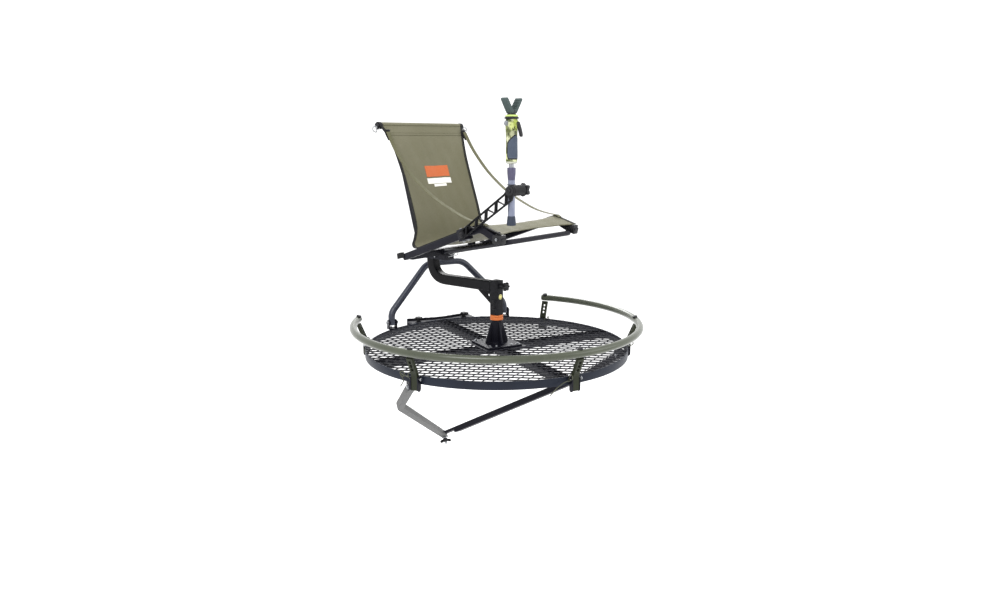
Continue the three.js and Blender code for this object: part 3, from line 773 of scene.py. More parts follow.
def expandedStrand(row, options, reach):
    # one zigzag strand that meets its neighbours at flat bonds
    y = row * options["strandPitch"]
    amplitude = options["strandPitch"] / 2
    half = options["diamond"] / 2
    bond = options["bond"] / 2
    span = math.sqrt(max(reach * reach - y * y, 0))
    way = 1 if row % 2 else -1
    points = []
    steps = int(span / half) + 1
    for step in range(-steps, steps + 1):
        side = way if step % 2 else -way
        for shift in (-bond, bond):
            points.append((step * half + shift, y + side * amplitude, -2.0))
    kept = []
    for point, after in zip(points, points[1:]):
        inside = math.hypot(point[0], point[1]) < reach
        insideAfter = math.hypot(after[0], after[1]) < reach
        if inside:
            kept.append(point)
        if inside != insideAfter:
            low, high = (point, after) if inside else (after, point)
            for unused in range(12):
                middle = tuple((a + b) / 2 for a, b in zip(low, high))
                if math.hypot(middle[0], middle[1]) < reach:
                    low = middle
                else:
                    high = middle
            kept.append(low)
    return kept


def splitAtHub(points, half):
    runs, run = [], []
    for point in points:
        if max(abs(point[0]), abs(point[1])) < half:
            if len(run) > 1:
                runs.append(run)
            run = []
        else:
            if run and abs(point[1]) < half and run[-1][0] * point[0] < 0:
                if len(run) > 1:
                    runs.append(run)
                run = []
            run.append(point)
    if len(run) > 1:
        runs.append(run)
    return runs


def makeDeck(options):
    inner = deckReach - options["wall"]
    low = deckTop - options["height"]
    wall = [(inner, low), (deckReach, low), (deckReach, deckTop), (inner, deckTop)]
    rimProfile = [tuple(p) for p in soften(wall, 1.4, 3, True)]
    makePiece(
        "deckRim", ringTurned(rimProfile, 160), skirtPaint, "deck", deckSpace, ["deck_rim"]
    )

    tilt = math.radians(options["tilt"])
    wide, deep = options["strandWidth"] / 2, options["strandDepth"] / 2
    section = [
        (x * math.cos(tilt) - y * math.sin(tilt), x * math.sin(tilt) + y * math.cos(tilt))
        for x, y in [(-wide, -deep), (wide, -deep), (wide, deep), (-wide, deep)]
    ]
    strands = []
    rows = int((deckReach - 6) / options["strandPitch"])
    for row in range(-rows, rows + 1):
        for run in splitAtHub(expandedStrand(row, options, deckReach - 1.6), options["hubHalf"] + 1):
            strands.append(sweep(run, section))
    makePiece(
        "deckExpandedMesh", merged(*strands), meshPaint, "deck", deckSpace, ["deck_mesh"], 20
    )

    welds = []
    for index in range(4):
        turn = Matrix.Rotation(math.radians(90 * index), 4, "Z")
        for side in (-1, 1):
            line = [(inner - 1.5, side * 20.5, -28), (inner - 1.5, side * 20.5, -6)]
            welds.append(moved(weldBead(line, 2.2), turn))
        welds.append(moved(weldBead([(86, -84, -1), (86, 84, -1)], 2.0), turn))
    makePiece("deckWelds", merged(*welds), darkPaint, "deck", deckSpace)


makeDeck(deck)

base = {
    "half": 75, "foot": 0.4, "top": 7, "socket": 22, "bore": 17.3, "socketTop": 98, "gussetReach": 48,
    "boltInset": 15,
}


def makePostBase(options):
    half, top = options["half"], options["top"]
    square = [(-half, -half), (half, -half), (half, half), (-half, half)]
    shapes = [plate(soften(square, 9, 5, True), options["foot"], top, bevel=0.8)]
    wall = [
        (options["bore"], top), (options["socket"], top), (options["socket"], options["socketTop"]),
        (options["bore"], options["socketTop"]),
    ]
    shapes.append(ringTurned([tuple(p) for p in soften(wall, 1.0, 3, True)], 48))
    corner = [
        (21, top), (options["gussetReach"], top), (options["gussetReach"], top + 6), (26, 84), (21, 92)
    ]
    for index in range(4):
        turn = Matrix.Rotation(math.radians(90 * index), 4, "Z")
        shapes.append(moved(plate(soften(corner, 3, 3, True), -3, 3), turn @ standing()))
        for side in (-1, 1):
            bead = weldBead([(23, side * 4.4, top + 1), (46, side * 4.4, top + 1)], 1.9)
            shapes.append(moved(bead, turn))
            rise = weldBead([(22, side * 4.6, top + 2), (22, side * 4.6, 84)], 1.6)
            shapes.append(moved(rise, turn))
    loop = [
        (23.5 * math.cos(i / 40 * math.tau), 23.5 * math.sin(i / 40 * math.tau), top + 1)
        for i in range(41)
    ]
    shapes.append(weldBead(loop, 2.4))
    makePiece("postBase", merged(*shapes), darkPaint, "deck", deckSpace, ["post_base"])
    bolts = []
    inset = half - options["boltInset"]
    for x in (-inset, inset):
        for y in (-inset, inset):
            bolts.append(moved(hexBolt(5.5, 4.5), Matrix.Translation((x, y, top))))
            bolts.append(moved(hexBolt(4.0, 3.2), Matrix.Translation((x * 0.55, y, top))))
    makePiece("postBaseBolts", merged(*bolts), zincSteel, "deck", deckSpace)

    low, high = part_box("swivel_bushing")[0].z / mm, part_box("swivel_bushing")[1].z / mm
    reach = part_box("swivel_bushing")[1].x / mm
    ring = [
        (17.5, low), (reach, low), (reach, low + 7), (reach - 1, low + 8), (reach - 1, high - 8),
        (reach, high - 7), (reach, high), (17.5, high),
    ]
    ringShape = ringTurned([tuple(p) for p in soften(ring, 1.0, 3, True)], 64)
    makePiece(
        "swivelBushing", ringShape, orangePlastic, "deck", deckSpace, ["swivel_bushing"]
    )


makePostBase(base)
print("deck made")


# tree side

treeSide = {"knobX": 110, "knobY": 523, "knobFoot": -1.6}


def makeTreeSide(options):
    for name, side in (("Right", -1), ("Left", 1)):
        place = Matrix.Translation((side * options["knobX"], options["knobY"], options["knobFoot"]))
        knob = starKnob(17, 8, 19)
        stud = turned([(0, -18), (3.6, -18), (4, -17.4), (4, 9), (0, 9)], 20)
        piece = merged(moved(knob, place), moved(stud, place))
        makePiece(
            "treeKnob" + name, piece, blackPlastic, "tree_knob_" + name.lower(), deckSpace,
            ["tree_knob_" + name.lower()],
        )
        nut = hexBolt(7.0, 5.0)
        under = moved(nut, aim((side * options["knobX"], options["knobY"], -10.2), (0, 0, -1)))
        makePiece("treeStudNut" + name, under, zincSteel, "deck", deckSpace)
    beads = []
    for side in (-1, 1):
        beads.append(weldBead([(side * 40, 537, -11), (side * 148, 558, -11)], 2.2))
    makePiece("treeSideWelds", merged(*beads), darkPaint, "deck", deckSpace)


makeTreeSide(treeSide)


# folding arch

arch = {"footX": 268, "y": 432, "pivot": 28, "lean": 11.3, "tube": 14}
archTube = {"drop": -12, "bend": 39, "shoulder": (84, 237), "reach": 34}


def makeArch(options, tubeOptions):
    leaning = Matrix.Translation((0, options["y"], options["pivot"])) @ Matrix.Rotation(
        math.radians(-options["lean"]), 4, "X"
    )
    footX = options["footX"]
    shoulderX, shoulderZ = tubeOptions["shoulder"]
    corners = [
        (-footX, 0, tubeOptions["drop"]), (-footX, 0, tubeOptions["bend"]), (-shoulderX, 0, shoulderZ),
        (shoulderX, 0, shoulderZ), (footX, 0, tubeOptions["bend"]), (footX, 0, tubeOptions["drop"]),
    ]
    route = soften(corners, tubeOptions["reach"], 12)
    tube = moved(sweep(route, roundSection(options["tube"], 24), up=(0, 1, 0)), leaning)
    makePiece("archTube", tube, archPaint, "tree_arch", deckSpace, ["arch_tube"])
    ear = [
        (-13, 2.4), (13, 2.4),
        *[
            (13 * math.cos(i / 14 * math.pi), options["pivot"] + 13 * math.sin(i / 14 * math.pi))
            for i in range(15)
        ],
    ]
    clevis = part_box("arch_clevis_right")
    reach = (clevis[1].x - clevis[0].x) / 2 / mm
    for name, side in (("right", -1), ("left", 1)):
        place = Matrix.Translation((side * footX, options["y"], 0))
        across = Matrix.Rotation(math.radians(90), 4, "Z")
        shapes = []
        for hand in (-1, 1):
            hole = circle(4.4, (0, options["pivot"]), 16)
            shapes.append(
                moved(
                    plate(ear, -2, 2, [hole]),
                    place @ Matrix.Translation((hand * (reach - 2), 0, 0)) @ across @ standing(),
                )
            )
        shapes.append(moved(bar((-reach, -18, 0.5), (reach, 18, 5), 3), place))
        makePiece(
            "archClevis_" + name, merged(*shapes), darkPaint, "deck", deckSpace, ["arch_clevis_" + name],
        )
        pivot = (side * footX, options["y"], options["pivot"])
        shank = moved(turned([(0, -22), (4, -22), (4, 22), (0, 22)], 20), aim(pivot, (1, 0, 0)))
        head = moved(hexBolt(7, 5), aim((pivot[0] - reach - 0.2, pivot[1], pivot[2]), (-1, 0, 0)))
        nut = moved(hexBolt(7, 5.5), aim((pivot[0] + reach + 0.2, pivot[1], pivot[2]), (1, 0, 0)))
        makePiece(
            "archPin_" + name, merged(shank, head, nut), zincSteel, "deck", deckSpace, ["arch_pin_" + name],
        )
        footBolts = [
            moved(hexBolt(4, 3), Matrix.Translation((side * footX, options["y"] + hand * 14.5, 5)))
            for hand in (-1, 1)
        ]
        makePiece("archFootBolts_" + name, merged(*footBolts), zincSteel, "deck", deckSpace)


makeArch(arch, archTube)


# foot rail

rail = {
    "radius": 549, "height": 86, "tube": 13.5, "middle": 272.75, "span": 251.5, "overhang": 1.4, "posts": 5,
    "pinRadius": 519, "pinZ": -9,
}


def railPoint(angle, radius, z):
    return Vector((radius * math.cos(math.radians(angle)), radius * math.sin(math.radians(angle)), z))


def clipWire(size=1.0, radius=1.3):
    # a spring clip: one straight leg, an eye, and a wavy leg
    wavy = [(-4, 2.5), (-12, 6.5), (-20, 3), (-28, 5.5), (-36, 9)]
    straight = [(-38, -3.4), (-20, -3.2), (-6, -2.8), (6, -2.5), (15, 0.5), (17, 7), (12, 14), (4, 13)]
    points = straight + [(-1, 7)] + wavy
    return sweep(
        flowing([(x * size, 0, z * size) for x, z in points], 6), roundSection(radius, 10), up=(0, 1, 0)
    )


def makeFootRail(options):
    first = options["middle"] - options["span"] / 2
    last = first + options["span"]
    route = [
        railPoint(
            first - options["overhang"] + (options["span"] + 2 * options["overhang"]) * i / 140,
            options["radius"], options["height"],
        )
        for i in range(141)
    ]
    makePiece(
        "footRailTube", sweep(route, roundSection(options["tube"], 24)), railPaint, "foot_rail", deckSpace,
        ["foot_rail_tube"],
    )
    caps, bolts, clips = [], [], []
    for end, way in ((first - options["overhang"], -1), (last + options["overhang"], 1)):
        place = railPoint(end, options["radius"], options["height"])
        outward = railPoint(end + way * 90, 1, 0)
        plug = turned([(0, -1), (11.6, -1), (12.6, 0.3), (12.6, 1.6), (11.6, 3), (0, 3.6)], 32)
        caps.append(moved(plug, aim(place, outward)))
    for index in range(options["posts"]):
        angle = first + options["span"] * index / (options["posts"] - 1)
        place = railPoint(angle, options["radius"] - 4, options["height"] + options["tube"] - 2.4)
        dome = turned([(0, 0), (9.6, 0), (9.8, 1), (9.4, 5), (8, 7.4), (4, 8.6), (0, 8.8)], 32)
        bolts.append(moved(dome, aim(place, railPoint(angle, -0.28, 1))))
        pin = railPoint(angle, options["pinRadius"], options["pinZ"])
        tangent = railPoint(angle + 90, 1, 0)
        turn = Matrix.Rotation(math.radians(angle), 4, "Z")
        clipPlace = Matrix.Translation(pin - tangent * 21) @ turn @ Matrix.Rotation(
            math.radians(-62 + 17 * index), 4, "Y"
        )
        clips.append(moved(clipWire(1.05, 1.9), clipPlace))
        if index == 1:
            loop = [
                pin - tangent * (54 + 9 * math.cos(a)) + Vector((0, 0, 8 + 9 * math.sin(a)))
                for a in [math.radians(d) for d in range(0, 331, 30)]
            ]
            tail = [
                pin - tangent * 18, pin - tangent * 30 + Vector((0, 0, 1)), *loop,
                pin - tangent * 50 + Vector((0, 0, -14)), pin - tangent * 64 + Vector((0, 0, -38)),
            ]
            clips.append(sweep(flowing(tail, 6), roundSection(1.8, 10)))
        if index == 2:
            fall = [
                pin - tangent * (18 + 21 * step) + Vector((0, 0, -2 - 2.6 * step * step))
                for step in range(5)
            ]
            clips.append(sweep(flowing(fall, 6), roundSection(1.8, 10)))
        if index in (0, 3):
            sag = [
                pin + tangent * 22, pin + tangent * 30 + Vector((0, 0, -16)),
                pin + tangent * 22 + Vector((0, 0, -34)), pin + tangent * 4 + Vector((0, 0, -40)),
                pin - tangent * 12 + Vector((0, 0, -34)),
            ]
            clips.append(sweep(flowing(sag, 8), roundSection(1.6, 8)))
    makePiece("footRailEndPlugs", merged(*caps), blackPlastic, "foot_rail", deckSpace)
    makePiece("footRailCapBolts", merged(*bolts), blackPlastic, "foot_rail", deckSpace)
    makePiece("railPinClips", merged(*clips), oliveSteel, "deck", deckSpace)


makeFootRail(rail)
print("foot rail made")


# lower brace

brace = {"pivotX": 440, "apex": 870, "fall": 34.33}


def makeBrace(options):
    pivot = Vector(joints["brace_fold"]["pos_m"]) / mm
    plane = Matrix.Translation(pivot) @ Matrix.Rotation(math.radians(-options["fall"]), 4, "X")
    head = moved(
        merged(
            turned([(0, -44), (5, -44), (5, 14), (0, 14)], 20),
            moved(hexBolt(9, 6.5), Matrix.Translation((0, 0, 13))),
        ),
        Matrix.Translation((0, options["apex"], 0)),
    )
    tail = moved(
        turned([(0, -14), (13, -14), (13, -12.9), (0, -12.9)], 28),
        Matrix.Translation((0, options["apex"], -0.2)),
    )
    makePiece(
        "braceBolt", moved(merged(head, tail), plane), zincSteel, "brace", deckSpace, ["brace_bolt"],
    )
    hub = turned([(0, -34), (7.5, -34), (9.5, -30), (10.5, -19), (9.5, -18), (0, -18)], 28)
    wing = soften([(6, -31), (14, -35), (24, -37), (27, -32), (25, -24), (14, -22), (6, -21)], 3, 3, True)
    wings = [
        moved(plate(wing, -2.4, 2.4, bevel=1.2), Matrix.Rotation(turn, 4, "Z") @ standing())
        for turn in (0, math.pi)
    ]
    nut = moved(merged(hub, *wings), Matrix.Translation((0, options["apex"], 0)))
    makePiece(
        "braceWingNut", moved(nut, plane), blackPlastic, "brace_nut", deckSpace, ["brace_wing_nut"],
    )
    pins = []
    for side in (-1, 1):
        for hand in (-1, 1):
            pins.append(
                moved(
                    hexBolt(6, 3.6),
                    aim((side * options["pivotX"] + hand * 15.4, pivot.y, pivot.z), (hand, 0, 0)),
                )
            )
    makePiece("bracePivotBolts", merged(*pins), zincSteel, "deck", deckSpace)


makeBrace(brace)
print("brace made")


# turning arm

arm = {
    "tubeWidth": 38, "tubeDepth": 40, "start": -19.4, "back": -335, "z": 228, "top": 308.5, "reach": 78,
    "post": 38, "postLow": 118.4, "postHigh": 252,
}


def makeSwingArm(options):
    corners = [
        (options["start"], 0, options["z"]), (options["back"], 0, options["z"]),
        (options["back"], 0, options["top"]),
    ]
    tube = sweep(
        soften(corners, options["reach"], 26, share=0.97),
        boxSection(options["tubeWidth"], options["tubeDepth"], 7, 5),
    )
    underside = options["z"] - options["tubeDepth"] / 2
    web = [(-19.8, 150), (-19.8, underside + 1), (-96, underside + 1), (-92, underside - 3)]
    gusset = moved(plate(soften(web, 3, 4, True), -3, 3, [circle(5, (-38, 190), 20)]), standing())
    beads = [
        weldBead([(-20.5, -17, options["z"] - 19), (-20.5, -17, options["z"] + 19)], 2.2),
        weldBead([(-20.5, 17, options["z"] - 19), (-20.5, 17, options["z"] + 19)], 2.2),
        weldBead([(-20.5, -4.5, 152), (-20.5, -4.5, underside - 1)], 1.8),
        weldBead([(-24, -4.5, underside - 0.5), (-88, -4.5, underside - 0.5)], 1.8),
        weldBead([(-24, 4.5, underside - 0.5), (-88, 4.5, underside - 0.5)], 1.8),
    ]
    makePiece(
        "swingArm", merged(tube, gusset, *beads), armPaint, "turning_arm", seatSpace, ["swing_arm"],
    )
    post = sweep(
        [(0, 0, options["postLow"]), (0, 0, options["postHigh"] - 2)],
        boxSection(options["post"], options["post"], 5, 5), up=(1, 0, 0),
    )
    cap = bar((-19, -19, options["postHigh"] - 3), (19, 19, options["postHigh"]), 4)
    makePiece("armPost", merged(post, cap), armPaint, "turning_arm", seatSpace, ["arm_post"])
    spindle = turned([(0, 22), (15.5, 22), (16.9, 24), (16.9, 117), (0, 117)], 40)
    makePiece("swivelSpindle", spindle, zincSteel, "turning_arm", seatSpace, ["swivel_spindle"])
    knob = moved(
        merged(starKnob(18, 20, 34), turned([(0, -2), (4, -2), (4, 12), (0, 12)], 20)),
        aim((19.4, 0, 232), (1, 0, 0)),
    )
    makePiece(
        "postLockKnob", knob, blackPlastic, "post_lock", seatSpace, ["post_lock_knob"]
    )
    disc = moved(
        turned([(0, 0), (10, 0), (10, 0.5), (9.4, 0.8), (0, 0.8)], 40), aim((19.05, 0, 189), (1, 0, 0))
    )
    ring = moved(
        ringTurned([(7.0, 0.7), (7.9, 0.7), (7.9, 1.0), (7.0, 1.0)], 40), aim((19.05, 0, 189), (1, 0, 0))
    )
    makePiece("armPostDisc", disc, paleDisc, "turning_arm", seatSpace)
    makePiece("armPostDiscRing", ring, blackPlastic, "turning_arm", seatSpace)
    bolts = []
    for z in (146, 168):
        for side in (-1, 1):
            bolts.append(moved(hexBolt(5.5, 4), aim((0, side * 19, z), (0, side, 0))))
    makePiece("armPostBolts", merged(*bolts), blackPlastic, "turning_arm", seatSpace)


makeSwingArm(arm)


# seat frame

seat = {
    "half": 222, "tube": 25, "reach": 18,
    "sideRoute": [(-268, 343), (62, 461), (118, 478), (172, 452), (212, 438)],
    "baseRoute": [(-238, -34, 345), (205, -197, 433), (205, 197, 433), (-238, 34, 345)],
}


def makeSeatFrame(options):
    for name, side in (("right", -1), ("left", 1)):
        y = side * options["half"]
        route = soften([(x, y, z) for x, z in options["sideRoute"]], options["reach"], 8)
        tube = sweep(route, boxSection(options["tube"], options["tube"], 4, 4))
        makePiece(
            "sideTube_" + name, tube, darkPaint, "seat", seatSpace, ["side_tube_" + name]
        )
        plugs = []
        for end, near in ((route[0], route[1]), (route[-1], route[-2])):
            plugs.append(moved(bar((-11.6, -11.6, -1), (11.6, 11.6, 2.6), 3), aim(end, end - near)))
        makePiece(
            "sideTubePlugs_" + name, merged(*plugs), blackPlastic, "seat", seatSpace
        )
        sides = (y - 15, y + 13) if side > 0 else (y - 13, y + 15)
        block = bar((174, sides[0], 430), (214, sides[1], 461), 3)
        screws = [moved(capScrew(3.2, 2.2), Matrix.Translation((x, y - side * 2, 461))) for x in (181, 206)]
        stud = moved(
            turned([(0, -1), (4.6, -1), (4.6, 8), (3.6, 11), (0, 11.6)], 24),
            Matrix.Translation((193, y - side * 2, 461)),
        )
        bolt = moved(hexBolt(3.6, 3), aim((194, y + side * 15, 446), (0, side, 0)))
        makePiece(
            "seatCorner_" + name, merged(block, stud), blackPlastic, "seat", seatSpace,
        )
        makePiece(
            "seatCornerScrews_" + name, merged(bolt, *screws), zincSteel, "seat", seatSpace
        )
    base = sweep(soften(options["baseRoute"], 26, 12), roundSection(9.5, 20))
    makePiece("seatBaseFrame", base, darkPaint, "seat", seatSpace, ["seat_base_frame"])
    clip = moved(
        clipWire(1.0), Matrix.Translation((-215, 0, 331)) @ Matrix.Rotation(math.radians(90), 4, "Z")
    )
    hitch = turned([(0, -30), (4, -30), (4, 30), (0, 30)], 20)
    pin = moved(
        merged(hitch, moved(hexBolt(7, 4.5), Matrix.Translation((0, 0, 26)))),
        aim((-300, 0, 320.5), (0, 1, 0)),
    )
    makePiece("seatHeadPin", merged(clip, pin), zincSteel, "seat", seatSpace)
    beads = [
        weldBead([(-244, -22, 333), (-266, -22, 333)], 2.2),
        weldBead([(-244, 22, 333), (-266, 22, 333)], 2.2),
        weldBead([(-241.5, -44, 336), (-241.5, -24, 336)], 2.2),
        weldBead([(-241.5, 44, 336), (-241.5, 24, 336)], 2.2),
    ]
    makePiece("seatWelds", merged(*beads), darkPaint, "seat", seatSpace)


makeSeatFrame(seat)


# back frame

back = {"foot": (-259, 366), "bar": (-389, 836), "half": 238, "tube": 9.5, "upright": 150}


def makeBackFrame(options):
    (footX, footZ), (barX, barZ) = options["foot"], options["bar"]
    shapes = [
        sweep(
            [(barX, -options["half"], barZ), (barX, 0, barZ), (barX, options["half"], barZ)],
            roundSection(options["tube"], 24),
        )
    ]
    bolts = []
    for side in (-1, 1):
        y = side * options["upright"]
        shapes.append(sweep([(footX, y, footZ), (barX, y, barZ)], roundSection(options["tube"], 20)))
        for hand in (-1, 1):
            bolts.append(moved(hexBolt(5, 3.4), aim((-258, y + hand * 13.2, 372), (0, hand, 0))))
    makePiece("backFrame", merged(*shapes), darkPaint, "back", seatSpace, ["back_frame"])
    makePiece("backPivotBolts", merged(*bolts), zincSteel, "seat", seatSpace)
    plugs = [
        moved(
            turned([(0, -1), (9.4, -1), (10.4, 0.5), (10.4, 2.4), (9, 4), (0, 4.4)], 28),
            aim((barX, side * options["half"], barZ), (0, side, 0)),
        )
        for side in (-1, 1)
    ]
    makePiece("backBarPlugs", merged(*plugs), blackPlastic, "back", seatSpace)


makeBackFrame(back)
print("seat and back frames made")


# sling: one sheet from the top bar, down the back and forward to the seat's front

sling = {
    "rows": [
        # middle forward, middle height, edge forward, edge height, half width
        (-356, 782, -351, 782, 208), (-335, 714, -326, 714, 197), (-304, 624, -293, 624, 192),
        (-267, 519, -258, 519, 192), (-247, 455, -241, 455, 194), (-235, 418, -232, 416, 210),
        (-222, 395, -224, 394, 227), (-198, 383, -203, 383, 228), (-130, 388, -140, 404, 228),
        (-40, 415, -40, 440, 229), (50, 455, 55, 474, 229), (105, 480, 112, 490, 229),
        (140, 474, 152, 480, 229), (168, 463, 206, 464, 229),
    ],
    "barReach": 11.4, "wrapFrom": 232, "wrapTo": -18, "wrapSteps": 9, "topHalf": 230, "thickness": 1.6,
    "columns": 48, "perRow": 7, "sagPower": 2.1, "ripple": 0.7,
}


def slingLines(options):
    rows = []
    barX, barZ = back["bar"]
    for step in range(options["wrapSteps"] + 1):
        share = step / options["wrapSteps"]
        angle = math.radians(options["wrapFrom"] + (options["wrapTo"] - options["wrapFrom"]) * share)
        x, z = barX + options["barReach"] * math.cos(angle), barZ + options["barReach"] * math.sin(angle)
        rows.append((x, z, x, z, options["topHalf"]))
    rows += options["rows"]
    middle = flowing([(x, z, 0) for x, z, unused, alsoUnused, half in rows], options["perRow"])
    edge = flowing([(x, z, half) for unused, alsoUnused, x, z, half in rows], options["perRow"])
    return middle, edge


slingMiddle, slingEdge = slingLines(sling)
slingLengths = [0.0]
for here, after in zip(slingMiddle, slingMiddle[1:]):
    slingLengths.append(slingLengths[-1] + (after - here).length)


def slingPoint(row, across):
    # a place on the sling's middle surface, in seat millimetres; across runs from -1 to 1
    middle, edge = slingMiddle[row], slingEdge[row]
    share = abs(across) ** sling["sagPower"]
    x = middle.x + (edge.x - middle.x) * share
    z = middle.y + (edge.y - middle.y) * share
    length = slingLengths[row]
    fade = min(1.0, max(0.0, (length - 60) / 80)) * (1 - abs(across) ** 4)
    wave = math.sin(across * 9 + length * 0.021) + 0.6 * math.sin(across * 21 - length * 0.034)
    wave += 0.5 * math.sin(length * 0.06 + across * across * 5)
    lift = sling["ripple"] * wave * fade
    return Vector((x + lift * 0.7, across * edge.z, z + lift * 0.7))


def slingNormal(row, across):
    last = len(slingMiddle) - 1
    along = slingPoint(min(row + 1, last), across) - slingPoint(max(row - 1, 0), across)
    over = slingPoint(row, min(across + 0.02, 1)) - slingPoint(row, max(across - 0.02, -1))
    return over.cross(along).normalized() * -1


def surfaceStrip(rows, acrossList, lowLift, highLift):
    # a closed strip that follows the sling between two lifts from its middle surface
    verts, faces, uv = [], [], []
    wide = len(acrossList)
    for lift in (highLift, lowLift):
        for row in rows:
            for across in acrossList:
                value = across(row) if callable(across) else across
                verts.append(slingPoint(row, value) + slingNormal(row, value) * lift)
                uv.append((value * slingEdge[row].z * mm, slingLengths[row] * mm))
    layer = len(rows) * wide
    for r in range(len(rows) - 1):
        for c in range(wide - 1):
            a = r * wide + c
            faces.append((a, a + 1, a + wide + 1, a + wide))
            faces.append((layer + a, layer + a + wide, layer + a + wide + 1, layer + a + 1))
    for r in range(len(rows) - 1):
        for c in (0, wide - 1):
            a = r * wide + c
            faces.append((a, a + wide, layer + a + wide, layer + a))
    for r in (0, len(rows) - 1):
        for c in range(wide - 1):
            a = r * wide + c
            faces.append((a, a + 1, layer + a + 1, layer + a))
    return (verts, faces), uv


def inset(side, distance):
    # the across value that lies a set distance in from an edge
    return lambda row: side * (1 - distance / slingEdge[row].z)


def stitchRow(places, normals, length=3.2, pitch=5.0, radius=0.42, lift=0.3):
    # short threads along a line of places
    shapes = []
    travelled, due = 0.0, 0.0
    for (a, b), normal in zip(zip(places, places[1:]), normals):
        step = (b - a).length
        while step > 0 and due <= travelled + step:
            start = a.lerp(b, (due - travelled) / step) + normal * lift
            way = (b - a).normalized()
            middle = start + way * length / 2 + normal * 0.35
            thread = [
                start - normal * 0.4, start + way * length * 0.2 + normal * 0.2, middle,
                start + way * length * 0.8 + normal * 0.2, start + way * length - normal * 0.4,
            ]
            shapes.append(sweep(thread, roundSection(radius, 5), up=normal))
            due += pitch
        travelled += step
    return merged(*shapes)


def seatPoint(x, y, z):
    return tuple(seatSpace @ Vector((x, y, z)))


slingBlend = (seatPoint(-203, 0, 384), seatPoint(-250, 0, 452))


def makeSling(options):
    allRows = list(range(len(slingMiddle)))
    columns = [(-1 + 2 * i / options["columns"]) for i in range(options["columns"] + 1)]
    half = options["thickness"] / 2
    shape, uv = surfaceStrip(allRows, columns, -half, half)
    cloth = makePiece(
        "sling", shape, slingWeave, None, seatSpace, ["seat_sling", "back_sling"], 60, uv,
        slingBlend,
    )

    wrapRows = options["wrapSteps"] * options["perRow"]
    edgeRows = list(range(wrapRows - 10, len(slingMiddle)))
    for name, side in (("right", -1), ("left", 1)):
        strip, stripUv = surfaceStrip(
            edgeRows, [inset(side, 11), inset(side, 5.5), inset(side, -1.2)], -2.0, 2.0
        )
        makePiece(
                "slingBinding_" + name, strip, blackWeave, None, seatSpace, (), 50,
                stripUv, slingBlend,
            )
        for lift in (1, -1):
            rows = edgeRows[2:]
            places = [
                slingPoint(
                    row, inset(side, 8.6)(row)
                ) + slingNormal(row, inset(side, 8.6)(row)) * 2.0 * lift
                for row in rows
            ]
            normals = [slingNormal(row, inset(side, 8.6)(row)) * lift for row in rows]
            face = "Front" if lift > 0 else "Rear"
            threads = stitchRow(places, normals)
            uvThreads = [(vertex.x * mm, vertex.z * mm) for vertex in threads[0]]
            makePiece(
                    "slingStitch" + face + "_" + name, threads, strapWeave, None, seatSpace, (),
                    50, uvThreads, slingBlend,
                )
    frontRows = allRows[-6:]
    frontColumns = [(-0.985 + 1.97 * i / 40) for i in range(41)]
    hem, hemUv = surfaceStrip(frontRows[-4:], frontColumns, -1.9, 1.9)
    makePiece("slingFrontHem", hem, slingWeave, "seat", seatSpace, (), 50, hemUv)

    tunnel = [row for row in allRows if 74 < slingLengths[row] < 96]
    inner = [(-0.94 + 1.88 * i / 40) for i in range(41)]
    seam, seamUv = surfaceStrip(tunnel, inner, -1.7, 1.7)
    makePiece("slingTunnelSeam", seam, slingWeave, "back", seatSpace, (), 50, seamUv)
    threads = []
    for row in (tunnel[1], tunnel[-2]):
        for lift in (1, -1):
            places = [slingPoint(row, across) + slingNormal(row, across) * 1.8 * lift for across in inner]
            normals = [slingNormal(row, across) * lift for across in inner]
            threads.append(stitchRow(places, normals))
    joined = merged(*threads)
    uvThreads = [(vertex.y * mm, vertex.z * mm) for vertex in joined[0]]
    makePiece(
            "slingTunnelStitches", joined, strapWeave, "back", seatSpace, (), 50, uvThreads
        )

    length = slingLengths[-1] * mm
    return length


slingLength = makeSling(sling)
print("sling made, cut length", round(slingLength, 3))

label = {"rows": [(659, 42, 65, "orange"), (622, 21, 67, "white"), (605, 10, 34, "white")], "centre": 8}


def makeLabel(options):
    # plain woven bars in two colours
    for index, (centreZ, height, halfWide, tone) in enumerate(options["rows"]):
        low, high = centreZ - height / 2, centreZ + height / 2
        verts, faces, uv = [], [], []
        ladder = 8
        columns = 14
        source = [row for row in range(63, 130) if slingLengths[row] < 520]
        for layer in (2.0, 0.6):
            for step in range(ladder + 1):
                z = low + (high - low) * step / ladder
                row = min(source, key=lambda r: abs(slingMiddle[r].y - z))
                after = row + 1 if slingMiddle[row].y > z else row - 1
                gap = slingMiddle[after].y - slingMiddle[row].y
                part = (z - slingMiddle[row].y) / gap if abs(gap) > 1e-6 else 0
                for column in range(columns + 1):
                    lateral = options["centre"] + halfWide * (2 * column / columns - 1)
                    across = lateral / slingEdge[row].z
                    place = slingPoint(row, across).lerp(slingPoint(after, across), part)
                    verts.append(place + slingNormal(row, across) * layer)
                    uv.append((lateral * mm, z * mm))
        wide = columns + 1
        count = (ladder + 1) * wide
        for r in range(ladder):
            for c in range(columns):
                a = r * wide + c
                faces.append((a, a + 1, a + wide + 1, a + wide))
                faces.append((count + a, count + a + wide, count + a + wide + 1, count + a + 1))
        loop = [c for c in range(wide)] + [r * wide + columns for r in range(1, ladder + 1)]
        loop += [
            ladder * wide + c for c in range(columns - 1, -1, -1)
        ] + [r * wide for r in range(ladder - 1, 0, -1)]
        for a, b in zip(loop, loop[1:] + loop[:1]):
            faces.append((a, b, count + b, count + a))
        weave = orangeWeave if tone == "orange" else whiteWeave
        makePiece("backLabel_" + str(index + 1), (verts, faces), weave, "back", seatSpace, (), 50, uv)


makeLabel(label)

